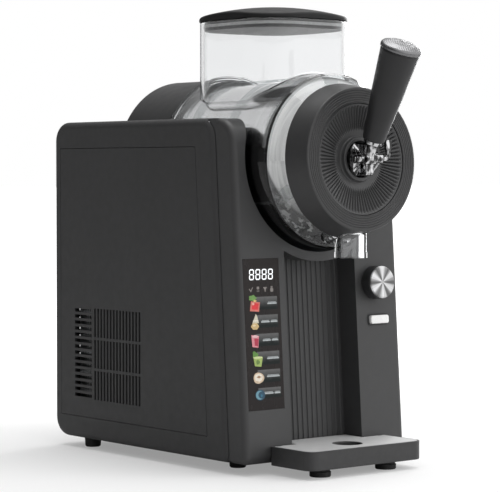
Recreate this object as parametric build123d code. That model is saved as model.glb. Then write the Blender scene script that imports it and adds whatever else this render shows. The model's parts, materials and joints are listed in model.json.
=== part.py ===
"""Countertop slushie machine: a clear freezing barrel on a boxed refrigerating body.

Millimetres. +X is the machine's left-to-right width, the front faces -Y and +Z is up.
The origin is on the table, under the middle of the machine's overall box.
"""
import math
import os

from build123d import *

os.makedirs("parts", exist_ok=True)

# ---- driving dimensions -------------------------------------------------------------
front_y = -96.76           # where the front face would meet the table
lean = 0.0677              # how far the front face leans back per mm of height
body_width = 200.0
body_depth = 308.0
body_base = 10.0           # underside of the body
body_top = 325.0
corner_radius = 19.0       # corners of the side view
low_corner_radius = 7.5
edge_round = 6.0
cover_round = 7.2          # round-over along the side covers' edges
wall = 2.5

fascia_width = 196.0
fascia_depth = 24.0
fascia_top = 324.6
fascia_corner = 23.0       # the hood's round-over at the top
seam_gap = 0.4             # between neighbouring covers

axis_z = 285.5             # freezing barrel's axis
barrel_radius = 81.0
barrel_wall = 3.0
barrel_front = -4.6        # distances named like this run back from the front face's foot
barrel_rear = 147.5
drum_radius = 79.7
drum_front = 153.5
drum_rear = 227.0
opening_radius = 84.5      # fascia and cradle opening around the barrel

tower_half_width = 59.0
tower_front = 18.5
tower_rear = 144.5
tower_corner = 39.0
tower_wall = 3.2
tower_top = 418.0
lid_crown = 431.6

evaporator_radius = 73.4
evaporator_front = 4.0
auger_inner = 74.1
auger_outer = 77.3
auger_turns = 2.5
auger_blade = 3.0
shaft_radius = 6.0
running_gap = 0.06

cap_tilt = 0.061           # the front cap's axis points forward and this much up
cap_back = -20.8           # where the cap's axis starts, in front of the face's foot
cap_back_radius = 71.1
cap_front_radius = 65.7
cap_depth = 24.6
neck_radius = 66.6
pin_forward = 32.3         # lever pin, ahead of the cap's back edge
pin_radius = 2.3
lever_lean = 24.0          # degrees forward at rest
spout_forward = 30.0

alcove_half_width = 43.2
alcove_depth = 25.0
alcove_floor = 13.7
alcove_arch_radius = 93.0
flute_pitch = 6.0

tray_half_width = 69.7
tray_front = -54.9
tray_base = 8.6
tray_top = 25.8
tray_foot_x = 40.2
tray_foot_back = -34.2

display_x = -71.3
display_width = 42.0
display_low = 59.5
display_high = 197.0
knob_x = 66.6
knob_z = 170.8
knob_radius = 15.75
button_x = 70.0
button_z = 135.6
button_width = 23.0
button_height = 8.0

panel_front = 53.6         # service panel's seams on each side
panel_rear = 13.0          # from the body's back
panel_top = 298.6
panel_base = 32.4

gear_module = 1.5
wheel_teeth = 40
pinion_teeth = 12
gear_front = 160.0
gear_width = 8.0
motor_drop = 39.4          # pinion below the barrel's axis

# ---- frames and simple shapes -------------------------------------------------------
face_plane = Plane(origin=(0, front_y, 0), x_dir=(1, 0, 0), z_dir=(0, -1, lean))
cap_plane = Plane(origin=(0, front_y + cap_back, axis_z), x_dir=(1, 0, 0), z_dir=(0, -1, cap_tilt))
lever_plane = cap_plane * Pos(0, 0, pin_forward)
pin_point = lever_plane.position


def block(x0, x1, back0, back1, z0, z1):
    """A box between two corners; the middle pair runs back from the front face's foot."""
    size = Box(x1 - x0, back1 - back0, z1 - z0)
    return Pos((x0 + x1) / 2, front_y + (back0 + back1) / 2, (z0 + z1) / 2) * size


def rod_y(radius, back0, back1, x=0.0, z=axis_z):
    """A cylinder that runs front to back."""
    middle = Pos(x, front_y + (back0 + back1) / 2, z)
    return middle * Rot(90, 0, 0) * Cylinder(radius, back1 - back0)


def rod_z(radius, z0, z1, x=0.0, back=0.0):
    """An upright cylinder."""
    return Pos(x, front_y + back, (z0 + z1) / 2) * Cylinder(radius, z1 - z0)


def rod_x(radius, x0, x1, back, z):
    """A cylinder that runs across the machine."""
    return Pos((x0 + x1) / 2, front_y + back, z) * Rot(0, 90, 0) * Cylinder(radius, x1 - x0)


def on_face(shape, x, z, out=0.0):
    """Put a shape on the leaning front face, its own Z pointing forward."""
    return face_plane * Pos(x, z, out) * shape


def disc(radius, low, high):
    """A cylinder along its own Z from low to high."""
    return Pos(0, 0, (low + high) / 2) * Cylinder(radius, high - low)


def ring(outer, inner, low, high):
    return disc(outer, low, high) - disc(inner, low - 1, high + 1)


def lathe(points):
    """Turn a closed outline of (radius, height) points about its own Z."""
    outline = make_face(Polyline(*[(r, 0, h) for r, h in points], close=True))
    return revolve(outline, Axis.Z)


def slab(front, rear, base, top, half_width, radii, rear_lean=0.0):
    """A body with a leaning front edge, extruded equally to both sides."""
    corners = [
        (front_y + front + lean * base, base),
        (front_y + rear + rear_lean * base, base),
        (front_y + rear + rear_lean * top, top),
        (front_y + front + lean * top, top),
    ]
    outline = make_face(FilletPolyline(*corners, radius=radii, close=True))
    return extrude(Plane.YZ * outline, amount=half_width, both=True)


def leaning_slab(front, rear, base, top, half_width):
    """A flat-ended piece whose front and rear both lean with the front face."""
    corners = [
        (front_y + front + lean * base, base),
        (front_y + rear + lean * base, base),
        (front_y + rear + lean * top, top),
        (front_y + front + lean * top, top),
    ]
    outline = make_face(Polyline(*corners, close=True))
    return extrude(Plane.YZ * outline, amount=half_width, both=True)


def rounded_box(width, depth, height, radius):
    """A box with rounded upright edges, standing on its own origin."""
    return extrude(RectangleRounded(width, depth, radius), amount=height)


def pipe(points, radius, bend):
    """A bent tube of one radius along a route of straight runs."""
    route = FilletPolyline(*points, radius=bend)
    section = Plane(origin=route @ 0, z_dir=route % 0) * Circle(radius)
    return sweep(section, path=route)


def at(x, back, z):
    return (x, front_y + back, z)


def save(name, shape):
    """Write one named piece."""
    shape.label = name
    export_step(shape, f"parts/{name}.step")


# ---- body covers --------------------------------------------------------------------
def body_shell():
    """The whole outer skin behind the fascia, before it is divided into covers."""
    half = body_width / 2
    radii = [low_corner_radius, corner_radius, corner_radius, corner_radius]
    outer = slab(fascia_depth, body_depth, body_base, body_top, half, radii)
    ends = outer.faces().sort_by(Axis.X)
    outer = fillet(ends[0].edges() + ends[-1].edges(), cover_round)
    inner_radii = [r - wall for r in radii]
    inner = slab(
        fascia_depth - 20,
        body_depth - wall,
        body_base + wall,
        body_top - wall,
        half - wall,
        inner_radii,
    )
    return outer - inner


def side_window(side, grow):
    """The opening in a side cover that its service panel fills, grown by a clearance."""
    z0 = panel_base - grow
    z1 = panel_top + grow
    window = leaning_slab(panel_front - grow, body_depth, z0, z1, body_width)
    window -= block(-300, 300, body_depth - panel_rear + grow, 400, -50, 400)
    inner = body_width / 2 - wall - 1
    keep = block(inner, 150, 0, 400, 0, 400) if side > 0 else block(-150, -inner, 0, 400, 0, 400)
    return window & keep


def vent_slots(side):
    """Short level slots at the rear and three rows of upright slots ahead of them."""
    x0, x1 = (90, 110) if side > 0 else (-110, -90)
    low, high = 50.7, 141.0
    slots = []
    level_count = 15
    level_pitch = (high - low) / level_count
    for i in range(level_count):
        z = low + (i + 0.5) * level_pitch
        slots.append(block(x0, x1, 241, 270.5, z - 1.7, z + 1.7))
    upright_count = 15
    upright_pitch = (238.0 - 158.5) / upright_count
    for row_low, row_high in ((50.7, 79.3), (82.0, 110.0), (112.6, 141.0)):
        for i in range(upright_count):
            back = 158.5 + (i + 0.5) * upright_pitch
            slots.append(block(x0, x1, back - 1.45, back + 1.45, row_low, row_high))
    return slots


def side_cover(shell, side):
    """The side wall with its turned-in top, rear and bottom edges."""
    inner = body_width / 2 - 10
    keep = block(inner, 120, 0, 400, 0, 400) if side > 0 else block(-120, -inner, 0, 400, 0, 400)
    return (shell & keep) - side_window(side, 0.4)


def vent_panel(shell, side):
    """The flush service panel with the cooling slots."""
    panel = shell & side_window(side, -0.1)
    return panel - vent_slots(side)


def middle(shell, back0, back1, z0, z1):
    """A stretch of the skin between the two side covers."""
    inner = body_width / 2 - 10 - seam_gap
    return shell & block(-inner, inner, back0, back1, z0, z1)


def top_deck(shell):
    """The top between the covers, open around the barrel and the rear drum."""
    deck = middle(shell, 0, body_depth - 10, body_top - 20, body_top + 5)
    deck -= rod_y(opening_radius, -20, drum_front - 3.5)
    return deck - rod_y(drum_radius + 0.4, 100, drum_rear + 0.4)


def rear_cover(shell):
    """The back wall, with four banks of slots, the inlet's opening and screw holes."""
    cover = middle(shell, body_depth - 9.6, body_depth + 5, 0, 400)
    cuts = []
    for x in (-54, -18, 18, 54):
        for i in range(14):
            z = 90 + i * 9
            cuts.append(block(x - 16, x + 16, body_depth - 5, body_depth + 5, z - 1.8, z + 1.8))
    cuts.append(block(inlet_x - 14, inlet_x + 14, body_depth - 5, body_depth + 5, 32, 53))
    for x, z in screw_places:
        cuts.append(rod_y(1.7, body_depth - 5, body_depth + 5, x, z))
        cuts.append(rod_y(3.3, body_depth - 1.2, body_depth + 5, x, z))
    return cover - cuts


def base_pan(shell):
    """The floor of the body, with air slots under the condenser."""
    pan = middle(shell, 0, body_depth - 10, 0, 30)
    cuts = []
    for x in (-58, -18, 22):
        for i in range(10):
            back = 166 + 10 * i
            cuts.append(block(x - 17, x + 17, back - 1.8, back + 1.8, 5, 16))
    return pan - cuts


inlet_x = 58.0
screw_places = [(x, z) for x in (-80, 80) for z in (28, 170, 306)]


def cover_screws():
    """Countersunk screws in the rear cover."""
    profile = [(0, 0), (1.6, 0), (1.6, 9.2), (3.1, 9.3), (3.1, 10.0), (2.2, 10.3), (0.9, 10.3)]
    profile += [(0.9, 9.6), (0, 9.6)]
    screw = lathe(profile)
    places = [Pos(x, front_y + body_depth - 10.3, z) for x, z in screw_places]
    return Compound(children=[place * Rot(-90, 0, 0) * screw for place in places])


def body_feet():
    """Four rubber feet under the base pan."""
    foot = lathe([(0, 0), (6.8, 0), (7.8, 1.2), (8.4, body_base), (0, body_base)])
    places = [(-80, 268), (80, 268), (-61, 59), (61, 59)]
    return Compound(children=[Pos(x, front_y + back, 0) * foot for x, back in places])


# ---- fascia and the cup alcove ------------------------------------------------------
def alcove_space(half_width, floor, arch):
    """The cup space's outline taken through the machine: straight sides under an arch."""
    space = block(-half_width, half_width, -40, 60, floor, axis_z - 40)
    return space - rod_y(arch, -60, 80)


def hood_bridge(half_width):
    """The strip that carries the hood's top back over the covers' rounded front corners."""
    bridge = leaning_slab(fascia_depth - 1, fascia_depth + 14, 296, fascia_top, half_width)
    radii = [low_corner_radius, corner_radius, corner_radius, corner_radius + 0.3]
    covers = slab(fascia_depth - 0.3, 200, 20, body_top + 0.3, body_width, radii)
    return bridge - covers


def hood_block():
    """The front panel's rounded outside, cut off level with the covers' front edges."""
    spare = fascia_depth + 25
    corners = [
        (front_y + lean * body_base, body_base),
        (front_y + spare + lean * body_base, body_base),
        (front_y + spare + lean * fascia_top, fascia_top),
        (front_y + lean * fascia_top, fascia_top),
    ]
    radii = [low_corner_radius, 1, 1, fascia_corner]
    outline = make_face(FilletPolyline(*corners, radius=radii, close=True))
    outer = extrude(Plane.YZ * outline, amount=fascia_width / 2, both=True)
    ends = outer.faces().sort_by(Axis.X)
    rim = (ends[0].edges() + ends[-1].edges()).filter_by(
        lambda e: e.center().Y < front_y + lean * e.center().Z + spare - 1.5
    )
    keep = leaning_slab(-5, fascia_depth - 0.4, 0, 400, body_width)
    return fillet(rim, edge_round) & keep


def front_fascia():
    """The front panel: a deep hood around the barrel, display, alcove and controls."""
    outer = hood_block()
    half = fascia_width / 2
    inner_corners = [
        (front_y + wall + lean * body_base, body_base + wall),
        (front_y + 60, body_base + wall),
        (front_y + 60, fascia_top - wall),
        (front_y + wall + lean * fascia_top, fascia_top - wall),
    ]
    inner_radii = [5, 1, 1, fascia_corner - wall]
    hollow = make_face(FilletPolyline(*inner_corners, radius=inner_radii, close=True))
    lip_low = body_base + wall + 0.3
    lip_top = body_top - wall - 0.5
    lip = leaning_slab(fascia_depth - 6, fascia_depth + 9, lip_low, lip_top, half - 0.9)
    shell = outer + lip - extrude(Plane.YZ * hollow, amount=half - wall, both=True)
    shell += hood_bridge(half)
    shell -= rod_y(opening_radius, -40, 80)
    shell -= alcove_space(alcove_half_width, alcove_floor, alcove_arch_radius)
    middle_z = (display_low + display_high) / 2
    window = Box(display_width + 0.4, display_high - display_low + 0.4, 20)
    shell -= on_face(window, display_x, middle_z)
    shell -= on_face(Cylinder(5.2, 20), knob_x, knob_z)
    button_hole = extrude(RectangleRounded(button_width + 3, button_height + 3, 2.4), 10, both=True)
    shell -= on_face(button_hole, button_x, button_z)
    return shell


def alcove_liner():
    """Side walls, floor and arched ceiling of the cup space."""
    depth = wall + alcove_depth - 2.8
    outer = leaning_slab(wall + 0.05, depth, alcove_floor - 1.15, axis_z, alcove_half_width + 2.2)
    outer -= rod_y(alcove_arch_radius - 2.2, -60, 80)
    outer -= block(-60, 60, 0, wall + 6, 0, alcove_floor)
    return outer - alcove_space(alcove_half_width, alcove_floor, alcove_arch_radius)


def fluted_panel():
    """The alcove's back, with rounded upright flutes."""
    front = wall + alcove_depth - 2.8
    panel = leaning_slab(front, front + 4, alcove_floor - 1, axis_z, alcove_half_width + 2.2)
    panel -= rod_y(alcove_arch_radius - 2.2, -60, 80)
    groove = Cylinder(1.5, 400)
    count = int(2 * alcove_half_width / flute_pitch)
    grooves = []
    for i in range(count):
        x = (i - (count - 1) / 2) * flute_pitch
        grooves.append(face_plane * Pos(x, 150, -front + 0.45) * Rot(90, 0, 0) * groove)
    return panel - grooves


def cradle():
    """The trough that the barrel slides into, open on top."""
    shell = rod_y(opening_radius + 2.5, 0, drum_front - 3.5)
    shell -= rod_y(opening_radius, -30, 200)
    shell -= block(-120, 120, -50, 200, fascia_top - wall - 0.2, 400)
    shell -= leaning_slab(-60, wall + 21, fascia_top - 26, 400, 150)
    shell -= hood_bridge(fascia_width / 2 + 1)
    return shell - leaning_slab(-60, wall + 0.1, 100, 400, 150)


# ---- front controls -----------------------------------------------------------------
def display_glass():
    """Flush black touch glass."""
    height = display_high - display_low
    glass = extrude(RectangleRounded(display_width, height, 1.5), amount=2.0)
    return on_face(glass, display_x, (display_low + display_high) / 2, -1.9)


def display_board():
    """The board behind the glass with its row of touch pads."""
    height = display_high - display_low
    board = Pos(0, 0, -0.8) * Box(display_width - 3, height - 4, 1.6)
    for i in range(6):
        board += Pos(0, 38 - i * 20, 0.5) * Box(24, 12, 1.4)
    return on_face(board, display_x, (display_low + display_high) / 2, -5.6)


def knob_skirt():
    """The black body of the selector knob with its drive shaft."""
    outer = [(0, 0.7), (knob_radius, 0.7), (knob_radius, 9.9), (15.0, 11.4), (0, 11.4)]
    return on_face(lathe(outer) + disc(3.0, -11, 2), knob_x, knob_z)


def knob_cap():
    """The turned steel face of the knob."""
    face = [(0, 11.4), (15.0, 11.4), (15.3, 11.9), (14.7, 12.9), (13.6, 13.1), (0, 12.9)]
    return on_face(lathe(face), knob_x, knob_z)


def control_board():
    """The board behind the knob and button, with the encoder and the push switch."""
    board = on_face(Pos(0, 0, -20.4) * Box(32, 66, 1.6), 70, (knob_z + button_z) / 2)
    encoder = Pos(0, 0, -12.4) * Box(13, 13, 14.4) + disc(4.6, -6, -0.2)
    encoder -= disc(3.0 + running_gap, -12, 2)
    switch = Pos(0, 0, -15.5) * Box(14, 10, 8.2) + disc(2.0, -11.5, -9.4)
    return board + on_face(encoder, knob_x, knob_z) + on_face(switch, button_x, button_z)


def push_button():
    """The rocker-wide cap of the power button with its stem."""
    cap = extrude(RectangleRounded(button_width, button_height, 2.2), amount=5.6)
    front = cap.faces().sort_by(Axis.Z)[-1]
    cap = fillet(front.edges(), 1.0)
    stem = Pos(0, 0, -2.5) * Box(6, 4, 5)
    return on_face(Pos(0, 0, -2.2) * (cap + stem), button_x, button_z)


def button_bezel():
    """The dark frame around the button."""
    outer = extrude(RectangleRounded(button_width + 2.8, button_height + 2.8, 2.3), amount=4.2)
    hole = RectangleRounded(button_width + 0.6, button_height + 0.6, 2.4)
    frame = outer - extrude(hole, amount=20, both=True)
    return on_face(Pos(0, 0, -3.6) * frame, button_x, button_z)


# ---- freezing barrel ----------------------------------------------------------------
def shoulder(start_radius, end_radius, start_back, end_forward):
    """A taper from the level barrel to the tilted neck."""
    rear_plane = Plane(at(0, start_back, axis_z), x_dir=(1, 0, 0), z_dir=(0, -1, 0))
    front_circle = cap_plane * Pos(0, 0, end_forward) * Circle(end_radius)
    return loft([rear_plane * Circle(start_radius), front_circle])


def vessel_outer():
    solid = rod_y(barrel_radius, barrel_front, barrel_rear)
    solid += rod_y(barrel_radius + 2.2, barrel_rear - 6, barrel_rear)
    solid += shoulder(barrel_radius, cap_back_radius - 0.6, barrel_front, -0.6)
    solid += cap_plane * disc(neck_radius, -0.6, 12)
    return solid


def vessel_inner():
    inner = barrel_radius - barrel_wall
    solid = rod_y(inner, barrel_front, barrel_rear + 5)
    solid += shoulder(inner, neck_radius - 3.0, barrel_front, -3.5)
    solid += cap_plane * disc(neck_radius - 3.0, -3.5, 20)
    return solid


def tower_block(inset, base, top):
    """The upright feed tower's block, drawn in by an inset all round."""
    width = 2 * (tower_half_width - inset)
    depth = tower_rear - tower_front - 2 * inset
    middle_back = (tower_front + tower_rear) / 2
    tower = rounded_box(width, depth, top - base, tower_corner - inset)
    return Pos(0, front_y + middle_back, base) * tower


def spout_bore():
    return rod_z(9.5, 190, 236, 0, -spout_forward)


def clear_barrel():
    """The clear barrel with the neck for the front cap, open under the feed tower."""
    solid = vessel_outer() - vessel_inner()
    solid -= tower_block(tower_wall, axis_z + 20, tower_top + 1)
    return solid - spout_bore()


def feed_tower():
    """The clear upright tower bonded on the barrel."""
    walls = tower_block(0, axis_z + 30, tower_top)
    walls -= tower_block(tower_wall, axis_z + 20, tower_top + 1)
    return walls - vessel_outer()


def vessel_gasket():
    """The lipped seal between the barrel's rear rim and the bulkhead."""
    return rod_y(80.0, barrel_rear + 0.3, 150) - rod_y(evaporator_radius + 0.4, 100, 200)


def lid():
    """The domed lid, its skirt over the tower's rim and its plug inside."""
    middle_y = front_y + (tower_front + tower_rear) / 2
    width = 2 * (tower_half_width + 0.6)
    depth = tower_rear - tower_front + 1.2
    height = lid_crown - tower_top - 0.4
    dome_radius = 270.0
    shell = rounded_box(width, depth, height, tower_corner)
    shell &= Pos(0, 0, height - dome_radius) * Sphere(dome_radius)
    shell = fillet(shell.edges().filter_by(lambda e: e.center().Z > 4), 3.2)
    plug = Pos(0, 0, -9) * rounded_box(width - 10, depth - 10, 9.5, tower_corner - 5)
    groove = rounded_box(width, depth, 3.2, tower_corner)
    groove -= rounded_box(width - 12.6, depth - 12.6, 3.2, tower_corner - 6.2)
    plug -= Pos(0, 0, -6.2) * groove
    return Pos(0, middle_y, tower_top + 0.4) * (shell + plug)


def lid_seal():
    """The soft ring in the plug's groove."""
    middle_y = front_y + (tower_front + tower_rear) / 2
    width = 2 * (tower_half_width + 0.6)
    depth = tower_rear - tower_front + 1.2
    outer = rounded_box(width - 8.4, depth - 8.4, 2.8, tower_corner - 4.2)
    outer -= Pos(0, 0, -1) * rounded_box(width - 12.5, depth - 12.5, 6, tower_corner - 6.2)
    return Pos(0, middle_y, tower_top + 0.4 - 6.0) * outer


# ---- evaporator and auger -----------------------------------------------------------
def evaporator_drum():
    """The cold steel cylinder, closed in front around a shaft sleeve."""
    skin = rod_y(evaporator_radius, evaporator_front, 152.8)
    skin -= rod_y(evaporator_radius - 1.4, evaporator_front + 2, 200)
    sleeve = rod_y(10.5, evaporator_front, 158)
    return skin + sleeve - rod_y(9.0, -10, 200)


def evaporator_coil():
    """The refrigerant tube's turns, pressed to the inside of the cold cylinder."""
    turns = []
    for i in range(10):
        centre = Pos(0, front_y + 18 + i * 13, axis_z)
        turns.append(centre * Rot(90, 0, 0) * Torus(evaporator_radius - 5.6, 4.0))
    return Compound(children=turns)


def shaft_bushes():
    """Front and rear bushes for the auger's shaft."""
    bushes = []
    for start in (evaporator_front + 1, 146):
        tube = rod_y(9.0, start, start + 11) - rod_y(shaft_radius + running_gap, 0, 200)
        bushes.append(tube)
    return Compound(children=bushes)


def shaft_seal():
    """The lip seal in front of the cold cylinder."""
    seal = rod_y(12.0, evaporator_front - 3.2, evaporator_front)
    return seal - rod_y(shaft_radius + running_gap, -20, 30)


def drive_shaft():
    """The auger's shaft, squared at its front end."""
    shaft = rod_y(shaft_radius, 2.0, gear_front + gear_width + 10)
    return shaft + block(-4, 4, -4.4, 2.0, axis_z - 4, axis_z + 4)


def auger():
    """The scraping auger: a front spider, a helical blade, ribs and a rear ring."""
    middle_radius = (auger_inner + auger_outer) / 2
    blade_length = barrel_rear - 6
    pitch = blade_length / auger_turns
    helix = Helix(pitch=pitch, height=blade_length, radius=middle_radius)
    section = Plane(origin=helix @ 0, x_dir=(1, 0, 0), z_dir=helix % 0)
    strip = section * Rectangle(auger_outer - auger_inner - 0.4, auger_blade)
    blade = sweep(strip, path=helix, is_frenet=True)
    blade = Pos(0, front_y - 0.5 + blade_length, axis_z) * Rot(90, 0, 0) * blade
    spider = rod_y(auger_outer, -3.6, -0.2) - rod_y(auger_inner, -20, 20)
    rear = rod_y(auger_outer, barrel_rear - 7, barrel_rear - 4) - rod_y(auger_inner, 0, 200)
    hub = rod_y(12, -3.6, 0.2)
    frame = spider + rear + hub
    for i in range(3):
        arm = Rot(0, 0, 90 + 120 * i) * Pos(auger_inner / 2 + 2.5, 0, 0) * Box(auger_inner - 3, 12, 3.4)
        frame += Plane(at(0, -1.9, axis_z), x_dir=(1, 0, 0), z_dir=(0, -1, 0)) * arm
    for i in range(3):
        angle = math.radians(90 + 120 * i)
        x = middle_radius * math.cos(angle)
        z = axis_z + middle_radius * math.sin(angle)
        frame += rod_y(1.2, -2, barrel_rear - 5, x, z)
    frame -= block(-4, 4, -10, 10, axis_z - 4, axis_z + 4)
    return frame + blade


# ---- rear drum and drive ------------------------------------------------------------
def bulkhead():
    """The plate that the evaporator and the gasket stand on."""
    plate = rod_y(drum_radius, 150, drum_front - 0.5)
    return plate - rod_y(evaporator_radius + 0.1, 100, 200)


def drum_housing():
    """The round cover over the gearmotor, closed behind with a soft edge."""
    outer = rod_y(drum_radius, drum_front, drum_rear)
    rear_face = outer.faces().sort_by(Axis.Y)[-1]
    outer = fillet(rear_face.edges(), 4)
    shell = outer - rod_y(drum_radius - wall, 100, drum_rear - wall)
    for x in (-38, 38):
        shell -= rod_z(6, 200, 240, x, 190)
    return shell


def gear_outline(teeth, module):
    """A spur gear's outline with tapered teeth and flat lands."""
    points = []
    pitch_radius = teeth * module / 2
    step = 2 * math.pi / teeth
    marks = ((-0.30, -1.2), (-0.20, 0.0), (-0.10, 0.85), (0.10, 0.85), (0.20, 0.0), (0.30, -1.2))
    for i in range(teeth):
        for share, lift in marks:
            angle = (i + share) * step
            radius = pitch_radius + lift * module
            points.append((radius * math.cos(angle), radius * math.sin(angle)))
    return make_face(Polyline(*points, close=True))


def spur_gear(teeth, turn, bore):
    gear = extrude(gear_outline(teeth, gear_module), amount=gear_width)
    return Rot(0, 0, turn) * (gear - disc(bore, -1, gear_width + 1))


def gear_place(drop):
    return Plane(at(0, gear_front + gear_width, axis_z - drop), x_dir=(1, 0, 0), z_dir=(0, -1, 0))


def gear_wheel():
    return gear_place(0) * spur_gear(wheel_teeth, 0, shaft_radius)


def motor_pinion():
    half_tooth = 180 / pinion_teeth
    shaft = Pos(0, 0, -30) * Cylinder(2.5, 76, align=(Align.CENTER, Align.CENTER, Align.MIN))
    pinion = spur_gear(pinion_teeth, 90 + half_tooth, 2.5)
    return gear_place(motor_drop) * (pinion + shaft & Pos(0, 0, -20) * Box(60, 60, 60))


def gear_plate():
    """The plate that carries the motor and the shaft's rear bearing."""
    plate = rod_y(drum_radius - wall - 0.3, 174, 178)
    plate -= rod_y(shaft_radius + running_gap, 100, 200)
    plate -= rod_y(3.2, 100, 200, 0, axis_z - motor_drop)
    for x in (-38, 38):
        plate -= rod_y(5.5, 100, 200, x, axis_z - 30)
    return plate


def drive_motor():
    """The gearmotor's can with its rear cap."""
    can = rod_y(25, 178, 220, 0, axis_z - motor_drop)
    can += rod_y(15, 220, 223, 0, axis_z - motor_drop)
    return can - rod_y(2.5 + running_gap, 170, 206, 0, axis_z - motor_drop)


# ---- front cap, valve and lever -----------------------------------------------------
def cap_collar():
    """The tapered collar with the flat ring around the dish."""
    outer = [
        (neck_radius + 0.5, 0),
        (cap_back_radius - 0.6, 0),
        (cap_back_radius, 0.8),
        (cap_front_radius + 0.2, cap_depth - 1.4),
        (cap_front_radius - 1.2, cap_depth),
        (51.3, cap_depth),
        (51.3, cap_depth - 3.2),
        (61.5, cap_depth - 3.2),
        (61.5, 14.5),
        (neck_radius + 0.5, 14.5),
    ]
    return cap_plane * lathe(outer) - spout_bore()


def cap_dish():
    """The fluted dish that falls to the hub, with the hub's raised ring."""
    profile = [
        (50.9, cap_depth - 3.2),
        (50.9, cap_depth - 0.9),
        (49.6, cap_depth - 0.9),
        (24.0, cap_depth - 7.0),
        (20.4, cap_depth - 5.5),
        (19.8, cap_depth + 1.2),
        (18.9, cap_depth + 1.8),
        (16.6, cap_depth + 1.8),
        (16.6, cap_depth - 9.5),
        (24.4, cap_depth - 9.5),
        (49.8, cap_depth - 3.2),
    ]
    return cap_plane * lathe(profile)


def cap_insert():
    """The cup behind the dish, with the valve's seat in its back wall."""
    shell = ring(61.2, 58.8, 1.0, cap_depth - 3.4) + ring(neck_radius - 3.4, 58.8, -3.5, 12.5)
    shell += disc(60, -3.5, -1.0)
    shell -= disc(10.0, -10, 5)
    return cap_plane * shell - spout_bore()


def cap_seal():
    """The ring that seals the neck's end in the collar."""
    return cap_plane * ring(66.4, 63.6, 12.6, 14.4)


def valve_guide():
    """The cup in the hub that guides the valve's stem."""
    guide = ring(19.4, 16.6, 5.0, cap_depth - 9.5) + disc(18, 5.0, 7.5)
    return cap_plane * (guide - disc(4.0 + running_gap, 0, 12))


def valve_plunger():
    """The valve: a crosshead at the lever, a stem and the poppet behind the seat."""
    crosshead = Pos(0, -3, 24) * Box(12, 18, 4)
    stem = disc(4.0, -4.5, 22.5)
    poppet = lathe([(0, -7.8), (11.5, -7.8), (13.0, -6.6), (13.0, -3.8), (0, -3.8)])
    return cap_plane * (crosshead + stem + poppet)


def valve_spring():
    """The return spring's turns around the stem."""
    turns = []
    for i in range(4):
        turns.append(cap_plane * Pos(0, 0, 8.3 + i * 2.1) * Torus(6.4, 0.7))
    return Compound(children=turns)


def hub_bracket():
    """The bright cheeks in the hub that hold the lever's pin between two knuckles."""
    side_view = Plane(origin=(-20, 0, 0), x_dir=(0, 1, 0), z_dir=(1, 0, 0))
    outline = Polyline(
        (-14.4, 9.0), (14.4, 9.0), (14.4, 24.0), (3.6, 31.0), (-3.6, 31.0), (-14.4, 24.0), close=True
    )
    cheeks = extrude(side_view * make_face(outline), amount=40)
    cheeks += Pos(0, 0, pin_forward) * Rot(0, 90, 0) * Cylinder(4.2, 40)
    cheeks = cheeks & disc(16.4, 9.0, 60)
    cheeks -= Pos(0, 0, 63) * Box(13.4, 60, 100)
    cheeks -= disc(7.7, 0, 17)
    cheeks -= Pos(0, 0, pin_forward) * Rot(0, 90, 0) * Cylinder(pin_radius + 0.05, 60)
    return cap_plane * cheeks


def pivot_pin():
    """The quick-release pin with its upturned tab."""
    route = FilletPolyline((-18.5, 0, 0), (25.0, 0, 0), (25.0, 9.5, 0), radius=4.2)
    section = Plane(origin=(-18.5, 0, 0), z_dir=(1, 0, 0)) * Circle(pin_radius)
    pin = sweep(section, path=route)
    pin += Pos(-17.8, 0, 0) * Rot(0, 90, 0) * Cylinder(3.4, 1.4)
    tab = extrude(Plane.XY * RectangleRounded(6.4, 9.4, 1.6), amount=1.5, both=True)
    pin += Pos(25.6, 12.4, 0) * tab
    return cap_plane * Pos(0, 0, pin_forward) * pin


def along_lever(shape):
    """Place a shape whose own Z runs from the pin up the lever."""
    return Pos(pin_point) * Rot(lever_lean, 0, 0) * shape


def lever_fork():
    """The lever's bright eye, its cam finger, its ferrule and the stem into the grip."""
    eye = Rot(0, 90, 0) * Cylinder(6.0, 12)
    profile = [(0, 0), (5.2, 0), (5.2, 13.5), (8.6, 15.5), (8.6, 18.6)]
    profile += [(4.5, 18.6), (4.5, 60), (0, 60)]
    stem = lathe(profile)
    part = along_lever(eye + stem)
    finger = Pos(0, -6.5, 0) * Box(9, 13, 5) + Pos(0, -13, 0) * Rot(0, 90, 0) * Cylinder(2.5, 9)
    part += cap_plane * Pos(0, 0, pin_forward) * finger
    bore = Rot(0, 90, 0) * Cylinder(pin_radius + 0.05, 40)
    return part - along_lever(bore)


def grip():
    """The tapered hand grip."""
    profile = [(4.5, 18.6), (9.6, 18.6), (10.4, 20.0), (14.6, 62.0), (17.9, 103.5)]
    profile += [(17.4, 105.4), (0, 105.4), (0, 60.0), (4.5, 60.0)]
    return along_lever(lathe(profile))


def grip_end_cap():
    """The metal cap on the grip's end."""
    profile = [(0, 105.4), (18.3, 105.4), (18.9, 106.2), (18.9, 108.6)]
    profile += [(18.2, 109.6), (15.5, 110.8), (0, 111.4)]
    return along_lever(lathe(profile))


def spout():
    """The clear outlet under the cap."""
    body = rod_z(14.6, 200, 224, 0, -spout_forward) + rod_z(15.2, 197, 202, 0, -spout_forward)
    back_radius = cap_back_radius + 0.1
    front_radius = cap_front_radius + 0.3
    top = cap_depth - 1.4
    collar = lathe([(0, 0), (back_radius, 0), (back_radius, 0.8), (front_radius, top), (0, top)])
    body -= cap_plane * collar
    body -= shoulder(barrel_radius + 0.6, cap_back_radius + 0.2, barrel_front, -0.2)
    body -= cap_plane * disc(cap_back_radius + 0.2, -0.3, 0.1)
    return body - spout_bore()


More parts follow.
